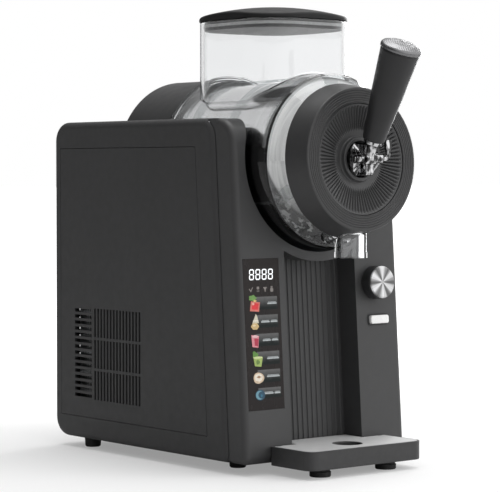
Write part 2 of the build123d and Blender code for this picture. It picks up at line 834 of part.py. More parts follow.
# ---- drip tray ----------------------------------------------------------------------
def tray_plan(inset, half_width, rear):
    """The tray's main outline in plan, drawn in by an inset."""
    x = half_width - inset
    y0 = front_y + tray_front + inset
    y1 = front_y + rear - inset
    corners = [(-x, y0), (x, y0), (x, y1), (-x, y1)]
    radii = [10.5 - inset, 10.5 - inset, 1.0, 1.0]
    return make_face(FilletPolyline(*corners, radius=radii, close=True))


def tray_tongue(inset, z0, z1):
    """The tray's rear tongue, which reaches into the alcove."""
    half = alcove_half_width - 0.6 - inset
    return block(-half, half, -8, 25.2 - inset, z0, z1)


def tray_body():
    """The catch tray with a ledge for its plate."""
    plan = tray_plan(0, tray_half_width, 0.2)
    outer = extrude(Pos(0, 0, tray_base) * plan, amount=tray_top - tray_base)
    outer = fillet(outer.faces().sort_by(Axis.Z)[0].edges(), 0.9)
    outer += tray_tongue(0, 14.2, tray_top)
    well = extrude(Pos(0, 0, 11.2) * tray_plan(4.2, tray_half_width, 0.2), amount=30)
    well += tray_tongue(4.2, 16.4, 40)
    ledge = extrude(Pos(0, 0, 23.6) * tray_plan(1.9, tray_half_width, 0.2), amount=30)
    ledge += tray_tongue(1.9, 23.6, 40)
    return outer - well - ledge


def tray_plate():
    """The lift-out plate with its drain hole and crossbar."""
    plate = extrude(Pos(0, 0, 23.9) * tray_plan(2.3, tray_half_width, 0.2), amount=2.1)
    plate += tray_tongue(2.3, 23.9, 26.0)
    plate -= rod_z(14.0, 0, 60, 0, -26)
    plate += block(-15, 15, -27.6, -24.4, 23.9, 25.4)
    for side in (-1, 1):
        plate -= block(side * 62 - 3, side * 62 + 3, -3.6, 3, 20, 40)
    return plate


def tray_feet():
    """Two rubber feet under the tray."""
    foot = lathe([(0, 0), (9.2, 0), (9.8, 0.8), (9.8, 4.6), (8.9, 5.0), (8.9, 8.6), (0, 8.6)])
    places = [Pos(side * tray_foot_x, front_y + tray_foot_back, 0) for side in (-1, 1)]
    return Compound(children=[place * foot for place in places])


# ---- refrigeration and electrics ----------------------------------------------------
def compressor():
    """The sealed compressor's domed can on its base plate and four feet."""
    can = lathe([(0, 24), (40, 24), (47, 32), (47, 104), (40, 120), (24, 130), (0, 133)])
    can += Pos(0, 0, 22) * Box(104, 84, 4)
    can += Pos(20, 20, 132) * Cylinder(5, 14)
    can += Pos(-20, 0, 132) * Cylinder(5, 14)
    for sx in (-1, 1):
        for sy in (-1, 1):
            can += Pos(sx * 44, sy * 34, 16.5) * Cylinder(6, 8)
    return Pos(34, front_y + 104, 0) * can


def condenser():
    """The finned condenser behind the left panel's slots."""
    fins = [block(-92, -72, 164 + 4 * i, 164.8 + 4 * i, 44, 148) for i in range(28)]
    core = block(-92, -72, 163, 163.9, 44, 148) + fins
    for z in (56, 76, 96, 116, 136):
        for x in (-87, -77):
            core += rod_y(3.2, 160, 276, x, z)
    return core


def fan_arms():
    """The cross of arms that carries the fan's motor."""
    arms = block(-49.9, -46.9, 172.5, 267.5, 93, 99) + block(-49.9, -46.9, 217, 223, 48.5, 143.5)
    return arms + rod_x(17, -49.9, -24, 220, 96)


def fan_shroud():
    """The plate with the fan's ring, the motor's arms and the motor."""
    tube = block(-70, -67.5, 166, 274, 42, 150) + rod_x(48.5, -67.5, -46.9, 220, 96)
    tube -= rod_x(46, -80, -40, 220, 96)
    return tube + fan_arms() - rod_x(2.5 + running_gap, -60, -40, 220, 96)


def fan_rotor():
    """Seven pitched blades on a hub with its shaft."""
    rotor = Rot(0, 90, 0) * Cylinder(14, 12)
    for i in range(7):
        blade = Pos(0, 0, 27) * Rot(0, 0, 32) * Box(1.8, 21, 33)
        rotor += Rot(360 * i / 7, 0, 0) * blade
    rotor &= Rot(0, 90, 0) * Cylinder(43.5, 15)
    rotor += Pos(9, 0, 0) * Rot(0, 90, 0) * Cylinder(2.5, 14)
    return Pos(-59, front_y + 220, 96) * rotor


def filter_drier():
    """The copper filter brazed into the liquid line."""
    profile = [(0, 0), (3.2, 0), (3.2, 6), (9.5, 14), (9.5, 48), (3.2, 56), (3.2, 62), (0, 62)]
    return Pos(-68, front_y + 156, 26) * Rot(0, 90, 0) * lathe(profile)


def refrigerant_lines():
    """Discharge, suction and liquid tubes with the filter drier."""
    discharge = [at(14, 104, 139), at(14, 104, 168), at(-82, 104, 168)]
    discharge += [at(-82, 190, 168), at(-82, 190, 148)]
    suction = [at(54, 124, 139), at(54, 124, 184), at(-38, 124, 184)]
    suction += [at(-38, 190, 184), at(-38, 190, 255.5), at(-38, 156, 255.5)]
    liquid = [at(-5.5, 156, 26), at(38, 156, 26), at(38, 190, 26)]
    liquid += [at(38, 190, 255.5), at(38, 156, 255.5)]
    inlet = [at(-82, 168, 43.8), at(-82, 168, 26), at(-82, 156, 26), at(-68.2, 156, 26)]
    tubes = [
        pipe(discharge, 2.6, 9),
        pipe(suction, 4.0, 12),
        pipe(liquid, 2.2, 9),
        pipe(inlet, 2.2, 5),
        filter_drier(),
    ]
    return Compound(children=tubes)


def power_board():
    """The control and power board with its tall parts."""
    board = block(84, 85.6, 170, 280, 60, 150)
    for back, z, size in ((190, 80, 14), (190, 120, 12), (225, 90, 18), (225, 130, 10), (260, 110, 16)):
        board += block(84 - size, 84, back - 8, back + 8, z - 8, z + 8)
    return board


def inlet_socket():
    """The mains inlet in the rear cover, with its three pins."""
    body = block(inlet_x - 13.8, inlet_x + 13.8, body_depth - 26, body_depth - 0.4, 32.2, 52.8)
    body -= block(inlet_x - 11.5, inlet_x + 11.5, body_depth - 18, body_depth + 5, 34.5, 50.5)
    for x, z in ((-7, 41), (0, 45), (7, 41)):
        body += block(inlet_x + x - 1, inlet_x + x + 1, body_depth - 19, body_depth - 4, z - 2, z + 2)
    return body


# ---- write every piece --------------------------------------------------------------
skin = body_shell()
save("left_side_cover", side_cover(skin, -1))
save("right_side_cover", side_cover(skin, 1))
save("left_vent_panel", vent_panel(skin, -1))
save("right_vent_panel", vent_panel(skin, 1))
save("top_deck", top_deck(skin))
save("rear_cover", rear_cover(skin))
save("base_pan", base_pan(skin))

pieces = [
    cover_screws, body_feet, front_fascia, alcove_liner, fluted_panel, cradle,
    display_glass, display_board, knob_skirt, knob_cap, control_board, push_button, button_bezel,
    clear_barrel, feed_tower, vessel_gasket, lid, lid_seal,
    evaporator_drum, evaporator_coil, shaft_bushes, shaft_seal, drive_shaft, auger,
    bulkhead, drum_housing, gear_wheel, motor_pinion, gear_plate, drive_motor,
    cap_collar, cap_dish, cap_insert, cap_seal, valve_guide, valve_plunger, valve_spring,
    hub_bracket, pivot_pin, lever_fork, grip, grip_end_cap, spout,
    tray_body, tray_plate, tray_feet,
    compressor, condenser, fan_shroud, fan_rotor,
    refrigerant_lines, power_board, inlet_socket,
]
for make in pieces:
    save(make.__name__, make())
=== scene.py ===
"""Looks of the slushie machine: fine pieces, materials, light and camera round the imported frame.

Metres, in the frame's own axes: +X to the right, the front faces -Y and +Z up. Angles are radians
unless a name says degrees.
"""

import json
import math

import bmesh
import bpy
from mathutils import Matrix, Vector
from mathutils.geometry import delaunay_2d_cdt


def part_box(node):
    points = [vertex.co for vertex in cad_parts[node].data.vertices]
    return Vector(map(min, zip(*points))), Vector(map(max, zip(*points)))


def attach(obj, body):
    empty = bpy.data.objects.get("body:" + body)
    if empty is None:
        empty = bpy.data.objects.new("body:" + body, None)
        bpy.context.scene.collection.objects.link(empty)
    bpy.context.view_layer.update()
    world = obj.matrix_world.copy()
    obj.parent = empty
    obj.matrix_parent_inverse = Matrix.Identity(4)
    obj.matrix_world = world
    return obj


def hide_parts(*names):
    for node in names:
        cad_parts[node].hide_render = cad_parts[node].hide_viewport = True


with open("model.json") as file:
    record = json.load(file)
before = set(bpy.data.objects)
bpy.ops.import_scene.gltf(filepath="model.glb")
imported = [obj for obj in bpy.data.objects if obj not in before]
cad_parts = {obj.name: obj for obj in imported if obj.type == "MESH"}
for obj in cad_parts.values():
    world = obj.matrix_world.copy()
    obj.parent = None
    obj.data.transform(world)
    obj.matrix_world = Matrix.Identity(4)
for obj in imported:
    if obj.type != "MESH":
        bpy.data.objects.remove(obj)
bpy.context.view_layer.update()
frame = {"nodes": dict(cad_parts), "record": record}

MM = 0.001
nodes = frame["nodes"]
record = frame["record"]
joints = {joint["name"]: joint for joint in record["behaviour"]["joints"]}

# ---- places read from the frame --------------------------------------
tower_low, tower_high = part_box("feed_tower")
axis_height = joints["auger_spin"]["pos_m"][2]
barrel_back = 147.5 * MM  # rear end of the barrel, behind the face's foot
front_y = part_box("clear_barrel")[1].y - barrel_back


def frame_at(origin, forward):
    """Axes on the machine's middle plane: x to the right, z along forward, y upwards."""
    z = Vector(forward).normalized()
    x = Vector((1, 0, 0))
    y = z.cross(x)
    place = Matrix((x, y, z)).transposed().to_4x4()
    place.translation = Vector(origin)
    return place


cap_axis = Vector(joints["cap_release"]["axis"])
pin_point = Vector(joints["lever_pull"]["pos_m"])
pin_forward = 32.3 * MM  # from the cap's back edge to the lever's pin
cap_frame = frame_at(pin_point - cap_axis * pin_forward, cap_axis)
face_normal = Vector(joints["knob_turn"]["axis"])
face_frame = frame_at((0, front_y, 0), face_normal)
lever_lean = math.radians(24)
lever_frame = Matrix.Translation(pin_point) @ Matrix.Rotation(lever_lean, 4, "X")


# ---- mesh helpers ----------------------------------------------------
def new_piece(name, verts, faces, body, slot, sharp_degrees=35, merge=1e-6):
    """A smooth-shaded object in the frame's axes that rides on a body."""
    mesh = bpy.data.meshes.new(name)
    mesh.from_pydata([tuple(v) for v in verts], [], faces)
    bm = bmesh.new()
    bm.from_mesh(mesh)
    bmesh.ops.remove_doubles(bm, verts=bm.verts, dist=merge)
    bmesh.ops.dissolve_degenerate(bm, edges=bm.edges, dist=merge)
    bmesh.ops.recalc_face_normals(bm, faces=bm.faces)
    bm.to_mesh(mesh)
    bm.free()
    mesh.shade_smooth()
    mesh.set_sharp_from_angle(angle=math.radians(sharp_degrees))
    obj = bpy.data.objects.new(name, mesh)
    bpy.context.scene.collection.objects.link(obj)
    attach(obj, body)
    return obj


def ring_faces(rows, count, closed_rows=False):
    """Quads between rows of count points each, every row closed on itself."""
    faces = []
    last = rows if closed_rows else rows - 1
    for i in range(last):
        j = (i + 1) % rows
        for k in range(count):
            n = (k + 1) % count
            faces.append((i * count + k, i * count + n, j * count + n, j * count + k))
    return faces


def turned(name, profile, place, segments, body, slot, ripple=None, **more):
    """A closed outline of (radius, height) in mm turned about a frame's z.

    ripple, if given, returns an extra height in mm for a radius, a height and an angle.
    """
    verts = []
    for radius, height in profile:
        for k in range(segments):
            angle = 2 * math.pi * k / segments
            extra = ripple(radius, height, angle) if ripple else 0.0
            point = (radius * math.cos(angle), radius * math.sin(angle), height + extra)
            verts.append(place @ (Vector(point) * MM))
    faces = ring_faces(len(profile), segments, closed_rows=True)
    return new_piece(name, verts, faces, body, slot, **more)


def arc(centre, radius, start_degrees, end_degrees, steps):
    """Points of a circular arc in an outline."""
    points = []
    for i in range(steps + 1):
        angle = math.radians(start_degrees + (end_degrees - start_degrees) * i / steps)
        points.append((centre[0] + radius * math.cos(angle), centre[1] + radius * math.sin(angle)))
    return points


def line(start, end, steps):
    """Evenly spaced points from start up to, but without, end."""
    return [
        (start[0] + (end[0] - start[0]) * i / steps, start[1] + (end[1] - start[1]) * i / steps)
        for i in range(steps)
    ]


# ---- clear vessel ----------------------------------------------------
barrel_radius = 81.0
barrel_wall = 3.0
barrel_start = -4.6  # mm behind the face's foot, where the shoulder ends
barrel_flange = 83.2
tower_half_width = 1000 * (tower_high.x - tower_low.x) / 2
tower_front = 1000 * (tower_low.y - front_y)
tower_rear = 1000 * (tower_high.y - front_y)
tower_corner = 39.0
tower_wall = 3.2
tower_fillet = 2.4
neck_outer = 66.6
neck_inner = 63.6
neck_reach = 12.0  # how far the neck runs into the cap
neck_bevel = 0.6
tower_top = 1000 * tower_high.z
axis_mm = 1000 * axis_height


def tower_outline(inset, count):
    """Points and outward directions round the tower's plan, count of each, in mm."""
    half_x = tower_half_width - inset
    half_y = (tower_rear - tower_front) / 2 - inset
    middle = (tower_front + tower_rear) / 2
    radius = tower_corner - inset
    run_x, run_y = half_x - radius, half_y - radius
    quarter = math.pi * radius / 2
    total = 4 * (run_x + run_y + quarter)
    points = []
    for i in range(count):
        s = total * i / count
        for k in range(4):
            straight = 2 * (run_y if k % 2 == 0 else run_x)
            turn = k * math.pi / 2
            corner_x = (run_x, -run_x, -run_x, run_x)[k]
            corner_y = (run_y, run_y, -run_y, -run_y)[k]
            out = Vector((math.cos(turn), math.sin(turn)))
            along = Vector((-out.y, out.x))
            if s <= straight:
                centre = Vector((corner_x, corner_y)) - along * (straight - s)
                points.append((centre + out * radius, out))
                break
            s -= straight
            if s <= quarter:
                angle = turn + s / radius
                out = Vector((math.cos(angle), math.sin(angle)))
                points.append((Vector((corner_x, corner_y)) + out * radius, out))
                break
            s -= quarter
        else:
            points.append((Vector((run_x, -run_y)) + Vector((1, 0)) * radius, Vector((1, 0))))
    return [(p + Vector((0, middle)), out) for p, out in points]


def on_barrel(x, radius):
    """Height in mm of the barrel's upper side at x."""
    return axis_mm + math.sqrt(max(radius * radius - x * x, 0.0))


def in_frame(x, back, z):
    """A point in metres from mm to the right, behind the face's foot and above the table."""
    return Vector((x * MM, front_y + back * MM, z * MM))


def on_ring(radius, angle, back):
    """A point on a circle about the barrel's axis."""
    return in_frame(radius * math.cos(angle), back, axis_mm + radius * math.sin(angle))


def tower_rows(count, fillet, fillet_steps):
    """The tower's rows from the barrel's skin up the outside, over the rim and down inside."""
    outer = tower_outline(0.0, count)
    inner = tower_outline(tower_wall, count)
    rows = []
    for k in range(fillet_steps + 1):
        share = k / fillet_steps
        row = []
        for point, out in outer:
            slope = -point.x / math.sqrt(barrel_radius**2 - point.x**2) * out.x
            reach = math.sqrt(1 + slope * slope)
            low_angle = math.atan2(-1 / reach, slope / reach)
            angle = low_angle + (-math.pi - low_angle) * share
            spread = fillet * (1 + math.cos(angle))
            lift = fillet * (slope + reach + math.sin(angle))
            x, back = point.x + out.x * spread, point.y + out.y * spread
            skin = on_barrel(x, barrel_radius)
            free = on_barrel(point.x, barrel_radius) + lift
            row.append(in_frame(x, back, skin * (1 - share) + free * share if k else skin))
        rows.append(row)
    rim = 1.0  # rounding of the tower's upper edges
    clear_of_fillet = fillet * 1.6
    for share in (0.25, 0.6, 1.0):
        row = []
        for point, out in outer:
            low = on_barrel(point.x, barrel_radius) + clear_of_fillet
            row.append(in_frame(point.x, point.y, low + (tower_top - 2 * rim - low) * share))
        rows.append(row)
    for inset, drop in ((0.0, rim), (0.3, 0.3), (rim, 0.0)):
        rows.append([in_frame(*(p - out * inset), tower_top - drop) for p, out in outer])
    for inset, drop in ((-rim, 0.0), (-0.3, 0.3), (0.0, rim), (0.0, 2 * rim)):
        rows.append([in_frame(*(p - out * inset), tower_top - drop) for p, out in inner])
    inner_radius = barrel_radius - barrel_wall
    for share in (0.4, 0.75, 1.0):
        row = []
        for point, out in inner:
            low = on_barrel(point.x, inner_radius)
            start = tower_top - 2 * rim
            row.append(in_frame(point.x, point.y, start + (low - start) * share))
        rows.append(row)
    return rows


def barrel_skin(radius, hole, back_steps, angle_steps):
    """Vertices and faces of the barrel's level part with a hole under the tower.

    hole is a row of points in the frame's axes that the skin meets exactly. It should end short of
    the last of back_steps. The outer one runs 0.9 mm past it, which leaves long slivers there.
    """
    flat = []
    for point in hole:
        x, z = point.x / MM, point.z / MM - axis_mm
        flat.append(Vector((math.atan2(z, x) * radius, (point.y - front_y) / MM)))
    count = len(flat)
    edges = [(i, (i + 1) % count) for i in range(count)]

    def inside(p, margin):
        hit = False
        near = False
        for i in range(count):
            a, b = flat[i], flat[(i + 1) % count]
            if (a.y > p.y) != (b.y > p.y) and p.x < (b.x - a.x) * (p.y - a.y) / (b.y - a.y) + a.x:
                hit = not hit
            near = near or (a - p).length < margin
        return hit or near

    points = list(flat)
    for angle in angle_steps:
        for back in back_steps:
            p = Vector((angle * radius, back))
            if not inside(p, 1.2):
                points.append(p)
    found, _, triangles, _, _, _ = delaunay_2d_cdt(points, edges, [], 0, 1e-6)
    verts = [on_ring(radius, p.x / radius, p.y) for p in found]
    faces = []
    for triangle in triangles:
        middle = sum((found[i] for i in triangle), Vector((0, 0))) / 3
        if not inside(middle, 0.0):
            faces.append(tuple(triangle))
    return verts, faces


def shoulder_rows(angles):
    """Outer rows from the level barrel forward over the shoulder to the neck, then back inside."""

    def level(radius, back):
        return [on_ring(radius, angle, back) for angle in angles]

    def tilted(radius, forward):
        row = []
        for a in angles:
            point = Vector((radius * math.cos(a), radius * math.sin(a), forward)) * MM
            row.append(cap_frame @ point)
        return row

    def between(first, last, share):
        return [a.lerp(b, share) for a, b in zip(first, last)]

    outer = []
    start, end = level(barrel_radius, barrel_start), tilted(70.5, -0.6)
    for share in (0.0, 0.06, 0.3, 0.6, 0.9, 1.0):
        outer.append(between(start, end, share))
    root = -3.5  # where the neck's bore meets the shoulder's inside
    for radius, forward in (
        (69.5, -0.1), (67.4, -0.1), (neck_outer, neck_bevel), (neck_outer, neck_reach - neck_bevel),
        (neck_outer - neck_bevel, neck_reach), (neck_inner + neck_bevel, neck_reach),
        (neck_inner, neck_reach - neck_bevel), (neck_inner, root),
    ):
        outer.append(tilted(radius, forward))
    inner_end = level(barrel_radius - barrel_wall, barrel_start)
    inner_start = tilted(neck_inner, root)
    for share in (0.1, 0.4, 0.7, 0.94, 1.0):
        outer.append(between(inner_start, inner_end, share))
    return outer


def clear_vessel():
    """The barrel, its shoulder and neck, and the feed tower as one clear moulding."""
    around = 240  # points round the barrel
    arch_start, arch_end = 25, 155  # degrees of the barrel that the tower stands on
    angles = [2 * math.pi * k / around for k in range(around)]
    rear = barrel_back / MM
    backs = [barrel_start, 6.0] + [14.0 + 4.0 * i for i in range(34)]
    tower = tower_rows(288, tower_fillet, 6)
    verts, faces = [], []

    def add(points, quads):
        base = len(verts)
        verts.extend(points)
        faces.extend(tuple(base + i for i in quad) for quad in quads)

    add([p for row in tower for p in row], ring_faces(len(tower), len(tower[0])))
    arch = [k for k in range(around) if arch_start <= 360 * k / around <= arch_end]
    rest = [k % around for k in range(arch[-1], arch[0] + around + 1)]
    for radius, hole in ((barrel_radius, tower[0]), (barrel_radius - barrel_wall, tower[-1])):
        add(*barrel_skin(radius, hole, backs, [angles[k] for k in arch]))
        grid = [on_ring(radius, angles[k], back) for back in backs for k in rest]
        width = len(rest)
        quads = []
        for i in range(len(backs) - 1):
            for k in range(width - 1):
                here, next_row = i * width + k, (i + 1) * width + k
                quads.append((here, here + 1, next_row + 1, next_row))
        add(grid, quads)
    front = shoulder_rows(angles)
    add([p for row in front for p in row], ring_faces(len(front), around))
    rim = []
    last = backs[-1]
    for radius, back in (
        (barrel_radius, last), (barrel_flange - 0.5, last), (barrel_flange, last + 0.5),
        (barrel_flange, rear - 0.5), (barrel_flange - 0.5, rear),
        (barrel_radius - barrel_wall + 0.4, rear), (barrel_radius - barrel_wall, rear - 0.4),
        (barrel_radius - barrel_wall, last),
    ):
        rim.append([on_ring(radius, angle, back) for angle in angles])
    add([p for row in rim for p in row], ring_faces(len(rim), around))
    vessel = new_piece("clear_vessel", verts, faces, "vessel", "clear_plastic", merge=2e-5)
    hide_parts("clear_barrel", "feed_tower")
    return vessel


# ---- front cap -------------------------------------------------------
cap_depth = 24.6
cap_front_radius = 65.7
cap_back_radius = 71.1
cap_socket = 67.1  # the collar's inside, over the vessel's neck
cap_web = 3.2  # thickness of the collar's face


def grooved(start, end, pitch, depth, height):
    """A flat ring's outline from start in to end with shallow rounded grooves."""
    points = []
    count = int(round((start - end) / pitch))
    for i in range(count):
        edge = start - i * pitch
        points += [
            (edge, height),
            (edge - 0.42 * pitch, height),
            (edge - 0.56 * pitch, height - 0.6 * depth),
            (edge - 0.71 * pitch, height - depth),
            (edge - 0.86 * pitch, height - 0.6 * depth),
        ]
    return points + [(end, height)]


def cap_collar():
    """The tapered collar with fine rings turned in its face."""
    top = cap_depth
    edge = 1.5
    outline = [(cap_socket, 0.2), (cap_socket + 0.2, 0.0)]
    outline += [(cap_back_radius - 0.6, 0.0), (cap_back_radius - 0.2, 0.2), (cap_back_radius, 0.8)]
    outline += line((cap_back_radius, 0.8), (cap_front_radius + 0.25, top - edge), 4)
    outline += arc((cap_front_radius - 1.25, top - edge), edge, 0, 90, 5)
    outline += grooved(64.0, 52.2, 2.1, 0.5, top)
    outline += arc((51.9, top - 0.6), 0.6, 90, 180, 3)
    outline += [(51.3, top - cap_web), (61.5, top - cap_web), (61.5, 14.5), (cap_socket, 14.5)]
    piece = turned("cap_collar_turned", outline, cap_frame, 256, "cap", "cap_plastic", sharp_degrees=30)
    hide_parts("cap_collar")
    return piece


def cap_dish():
    """The dish with fine radial flutes that fall to the hub's ring."""
    flutes = 82
    flute_depth = 1.9
    inner, outer = 26.5, 48.8
    underside = 8.6  # below this depth the dish is plain

    def ripple(radius, height, angle):
        if height < cap_depth - underside or not inner < radius < outer:
            return 0.0
        fade = min(1.0, (radius - inner) / 4.0, (outer - radius) / 0.8)
        wave = abs(math.sin(flutes * angle / 2))
        return -flute_depth * fade * (1 - wave ** 1.1)

    top = cap_depth
    outline = [(50.9, top - cap_web), (50.9, top - 1.2), (50.6, top - 0.9), (49.8, top - 0.9)]
    outline += line((49.4, top - 1.0), (22.6, top - 6.0), 24)
    outline += [(21.4, top - 6.1), (20.7, top - 5.6), (20.3, top - 4.6), (20.1, top - 2.9)]
    outline += arc((19.1, top - 2.5), 1.0, 10, 90, 4)
    outline += arc((17.6, top - 2.5), 1.0, 90, 180, 4)
    outline += [(16.6, top - 9.5), (24.4, top - 9.5), (49.8, top - cap_web)]
    piece = turned("cap_dish_fluted", outline, cap_frame, flutes * 12, "cap", "cap_plastic", ripple)
    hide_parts("cap_dish")
    return piece


def grip_end_cap():
    """The knurled metal cap on the grip."""
    top = 113.4
    edge_radius = 18.9
    knurl_pitch = 2.2
    knurl_depth = 0.36
    knurl_start = 109.8

    def ripple(radius, height, angle):
        if radius < 3 or radius > 17.0 or height < knurl_start:
            return 0.0
        x, y = radius * math.cos(angle) / knurl_pitch, radius * math.sin(angle) / knurl_pitch
        return -knurl_depth * (math.sin(math.pi * (x + y)) * math.sin(math.pi * (x - y))) ** 2

    outline = [(9.0, 105.4), (18.3, 105.4), (edge_radius, 106.0), (edge_radius, 106.8)]
    outline += [(edge_radius, 107.4), (18.8, 108.1), (18.5, 108.8), (17.9, 109.6)]
    outline += line((17.2, 110.2), (12.0, 112.2), 14) + line((12.0, 112.2), (0.4, top), 28)
    outline += [(0.4, top)]
    piece = turned("grip_end_cap_knurled", outline, lever_frame, 256, "lever", "bright_metal", ripple)
    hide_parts("grip_end_cap")
    return piece


# ---- display graphics ------------------------------------------------
graphics_lift = 0.14 * MM
graphics_depth = 0.06 * MM


def flat_shape(outline, x, z, name, layer=0):
    """A thin plate on the display from an outline in mm round (x, z) on the front face."""
    verts, faces = [], []
    count = len(outline)
    lift = graphics_lift + layer * graphics_depth
    for depth in (lift, lift - graphics_depth * 0.8):
        for u, v in outline:
            verts.append(face_frame @ Vector(((x + u) * MM, (z + v) * MM, depth)))
    faces.append(tuple(range(count)))
    faces.append(tuple(range(2 * count - 1, count - 1, -1)))
    for i in range(count):
        j = (i + 1) % count
        faces.append((i, i + count, j + count, j))
    return new_piece(name, verts, faces, "body", "display_glass", merge=1e-9)


def rounded(width, height, radius, steps=4):
    """A rounded rectangle's outline about its middle."""
    points = []
    for k, (sx, sy) in enumerate(((1, 1), (-1, 1), (-1, -1), (1, -1))):
        centre = (sx * (width / 2 - radius), sy * (height / 2 - radius))
        points += arc(centre, radius, 90 * k, 90 * k + 90, steps)
    return points


def blob(width, height, lobes, depth, turn=0.0, steps=40):
    """A soft closed outline with a few lobes."""
    points = []
    for i in range(steps):
        a = 2 * math.pi * i / steps
        r = 1 + depth * math.cos(lobes * a + turn)
        points.append((width / 2 * r * math.cos(a), height / 2 * r * math.sin(a)))
    return points


def joined(pieces, name):
    """One object from several that ride on the same body."""
    bpy.ops.object.select_all(action="DESELECT")
    for piece in pieces:
        piece.select_set(True)
    bpy.context.view_layer.objects.active = pieces[0]
    bpy.ops.object.join()
    pieces[0].name = name
    return pieces[0]


def seven_segment(digit_width, digit_height, bar):
    """The outlines of the lit bars of a figure eight."""
    half_h = digit_height / 2
    long_x = digit_width / 2 - bar / 2
    bars = []
    for y in (half_h - bar / 2, 0.0, -half_h + bar / 2):
        bars.append([(u, v + y) for u, v in lozenge(digit_width - bar * 1.1, bar)])
    for x in (-long_x, long_x):
        for y in (half_h / 2 - bar / 8, -half_h / 2 + bar / 8):
            upright = [(-v, u) for u, v in lozenge(half_h - bar * 0.75, bar)]
            bars.append([(u + x, v + y) for u, v in upright])
    return bars


def lozenge(length, thickness):
    """A bar with pointed ends, as in a figure display."""
    a, b = length / 2, thickness / 2
    return [(a, 0), (a - b, b), (-a + b, b), (-a, 0), (-a + b, -b), (a - b, -b)]


def clock_figures():
    """The four lit figures."""
    made = []
    slant = 0.06
    clock_height = 182.7
    for x in (-82.6, -75.2, -67.8, -60.4):
        for outline in seven_segment(5.7, 9.9, 1.15):
            leaning = [(u + v * slant, v) for u, v in outline]
            made.append(flat_shape(leaning, x, clock_height, "bar"))
    return joined(made, "clock_figures")


def status_marks():
    """Four small line symbols under the clock."""
    z = 169.0
    tick = [(-2.2, 0.6), (-1.3, 1.2), (-0.2, -0.6), (2.2, 2.6), (2.6, 1.9), (0, -2.4)]
    funnel = [(-2.4, 2.0), (2.4, 2.0), (0.6, -0.4), (0.6, -2.2), (-0.6, -2.2), (-0.6, -0.4)]
    marks = [(tick, -84.2, z), (rounded(3.0, 2.6, 0.8), -75.8, z + 1.4)]
    marks += [(rounded(0.5, 1.6, 0.2), -75.8 + shift, z - 1.4) for shift in (-1.1, 0.0, 1.1)]
    marks += [(funnel, -67.4, z), (rounded(3.4, 3.4, 0.8), -59.6, z - 0.8)]
    marks += [(blob(2.2, 1.8, 2, 0.1), -59.6, z + 1.9)]
    made = [flat_shape(outline, x, height, "mark") for outline, x, height in marks]
    return joined(made, "status_marks")


# lower and upper edges of the six tiles, and the widths of each tile's bars from the right, in mm
tile_spans = ((149.0, 162.5), (132.4, 145.9), (115.8, 128.8), (98.8, 112.7), (82.7, 96.1), (68.7, 79.5))
bar_rows = ((11.0,), (8.0, 10.0), (7.5, 9.5), (14.0,), (15.0,), (7.0, 12.0))


def menu_tiles():
    """Six faded tiles, each with a pale bar or two where a real panel has words."""
    tile_width, tile_x = 26.5, -67.0
    bar_end, bar_gap = -54.6, 1.2
    bar_layer = 2
    for number, (low, high) in enumerate(tile_spans):
        middle, height = (low + high) / 2, high - low
        shape = rounded(tile_width, height * 0.86, 0.5)
        dressed(flat_shape(shape, tile_x, middle + 0.8, f"menu_tile_{number + 1}"), tile_fade)
    bars = []
    for (low, high), row in zip(tile_spans, bar_rows):
        right = bar_end
        z = low + 0.52 * (high - low)
        for width in row:
            x = right - width / 2
            bars.append(flat_shape(rounded(width, 1.3, 0.4), x, z, "bar", bar_layer))
            bars.append(flat_shape(rounded(width - 1.6, 0.5, 0.2), x, z + 1.2, "bar", bar_layer))
            right -= width + bar_gap
    dressed(joined(bars, "menu_bars"), lit("bar_glow", (0.40, 0.43, 0.44), 0.16))


def drawing(number, name, shapes):
    """One small picture: layered outlines, each with a colour and a place in mm."""
    low, high = tile_spans[number]
    middle = (low + high) / 2
    picture_x = -80.6
    first_layer = 3
    for order, (part, outline, x, z, colour) in enumerate(shapes):
        larger = [(1.32 * u, 1.12 * v) for u, v in outline]
        where = (picture_x + 1.2 * x, middle + 1.1 * z)
        piece = flat_shape(larger, *where, f"{name}_{part}", first_layer + order)
        shade = tuple(0.86 * c for c in colour)
        dressed(piece, lit(f"{name}_{part}", shade, 0.12))


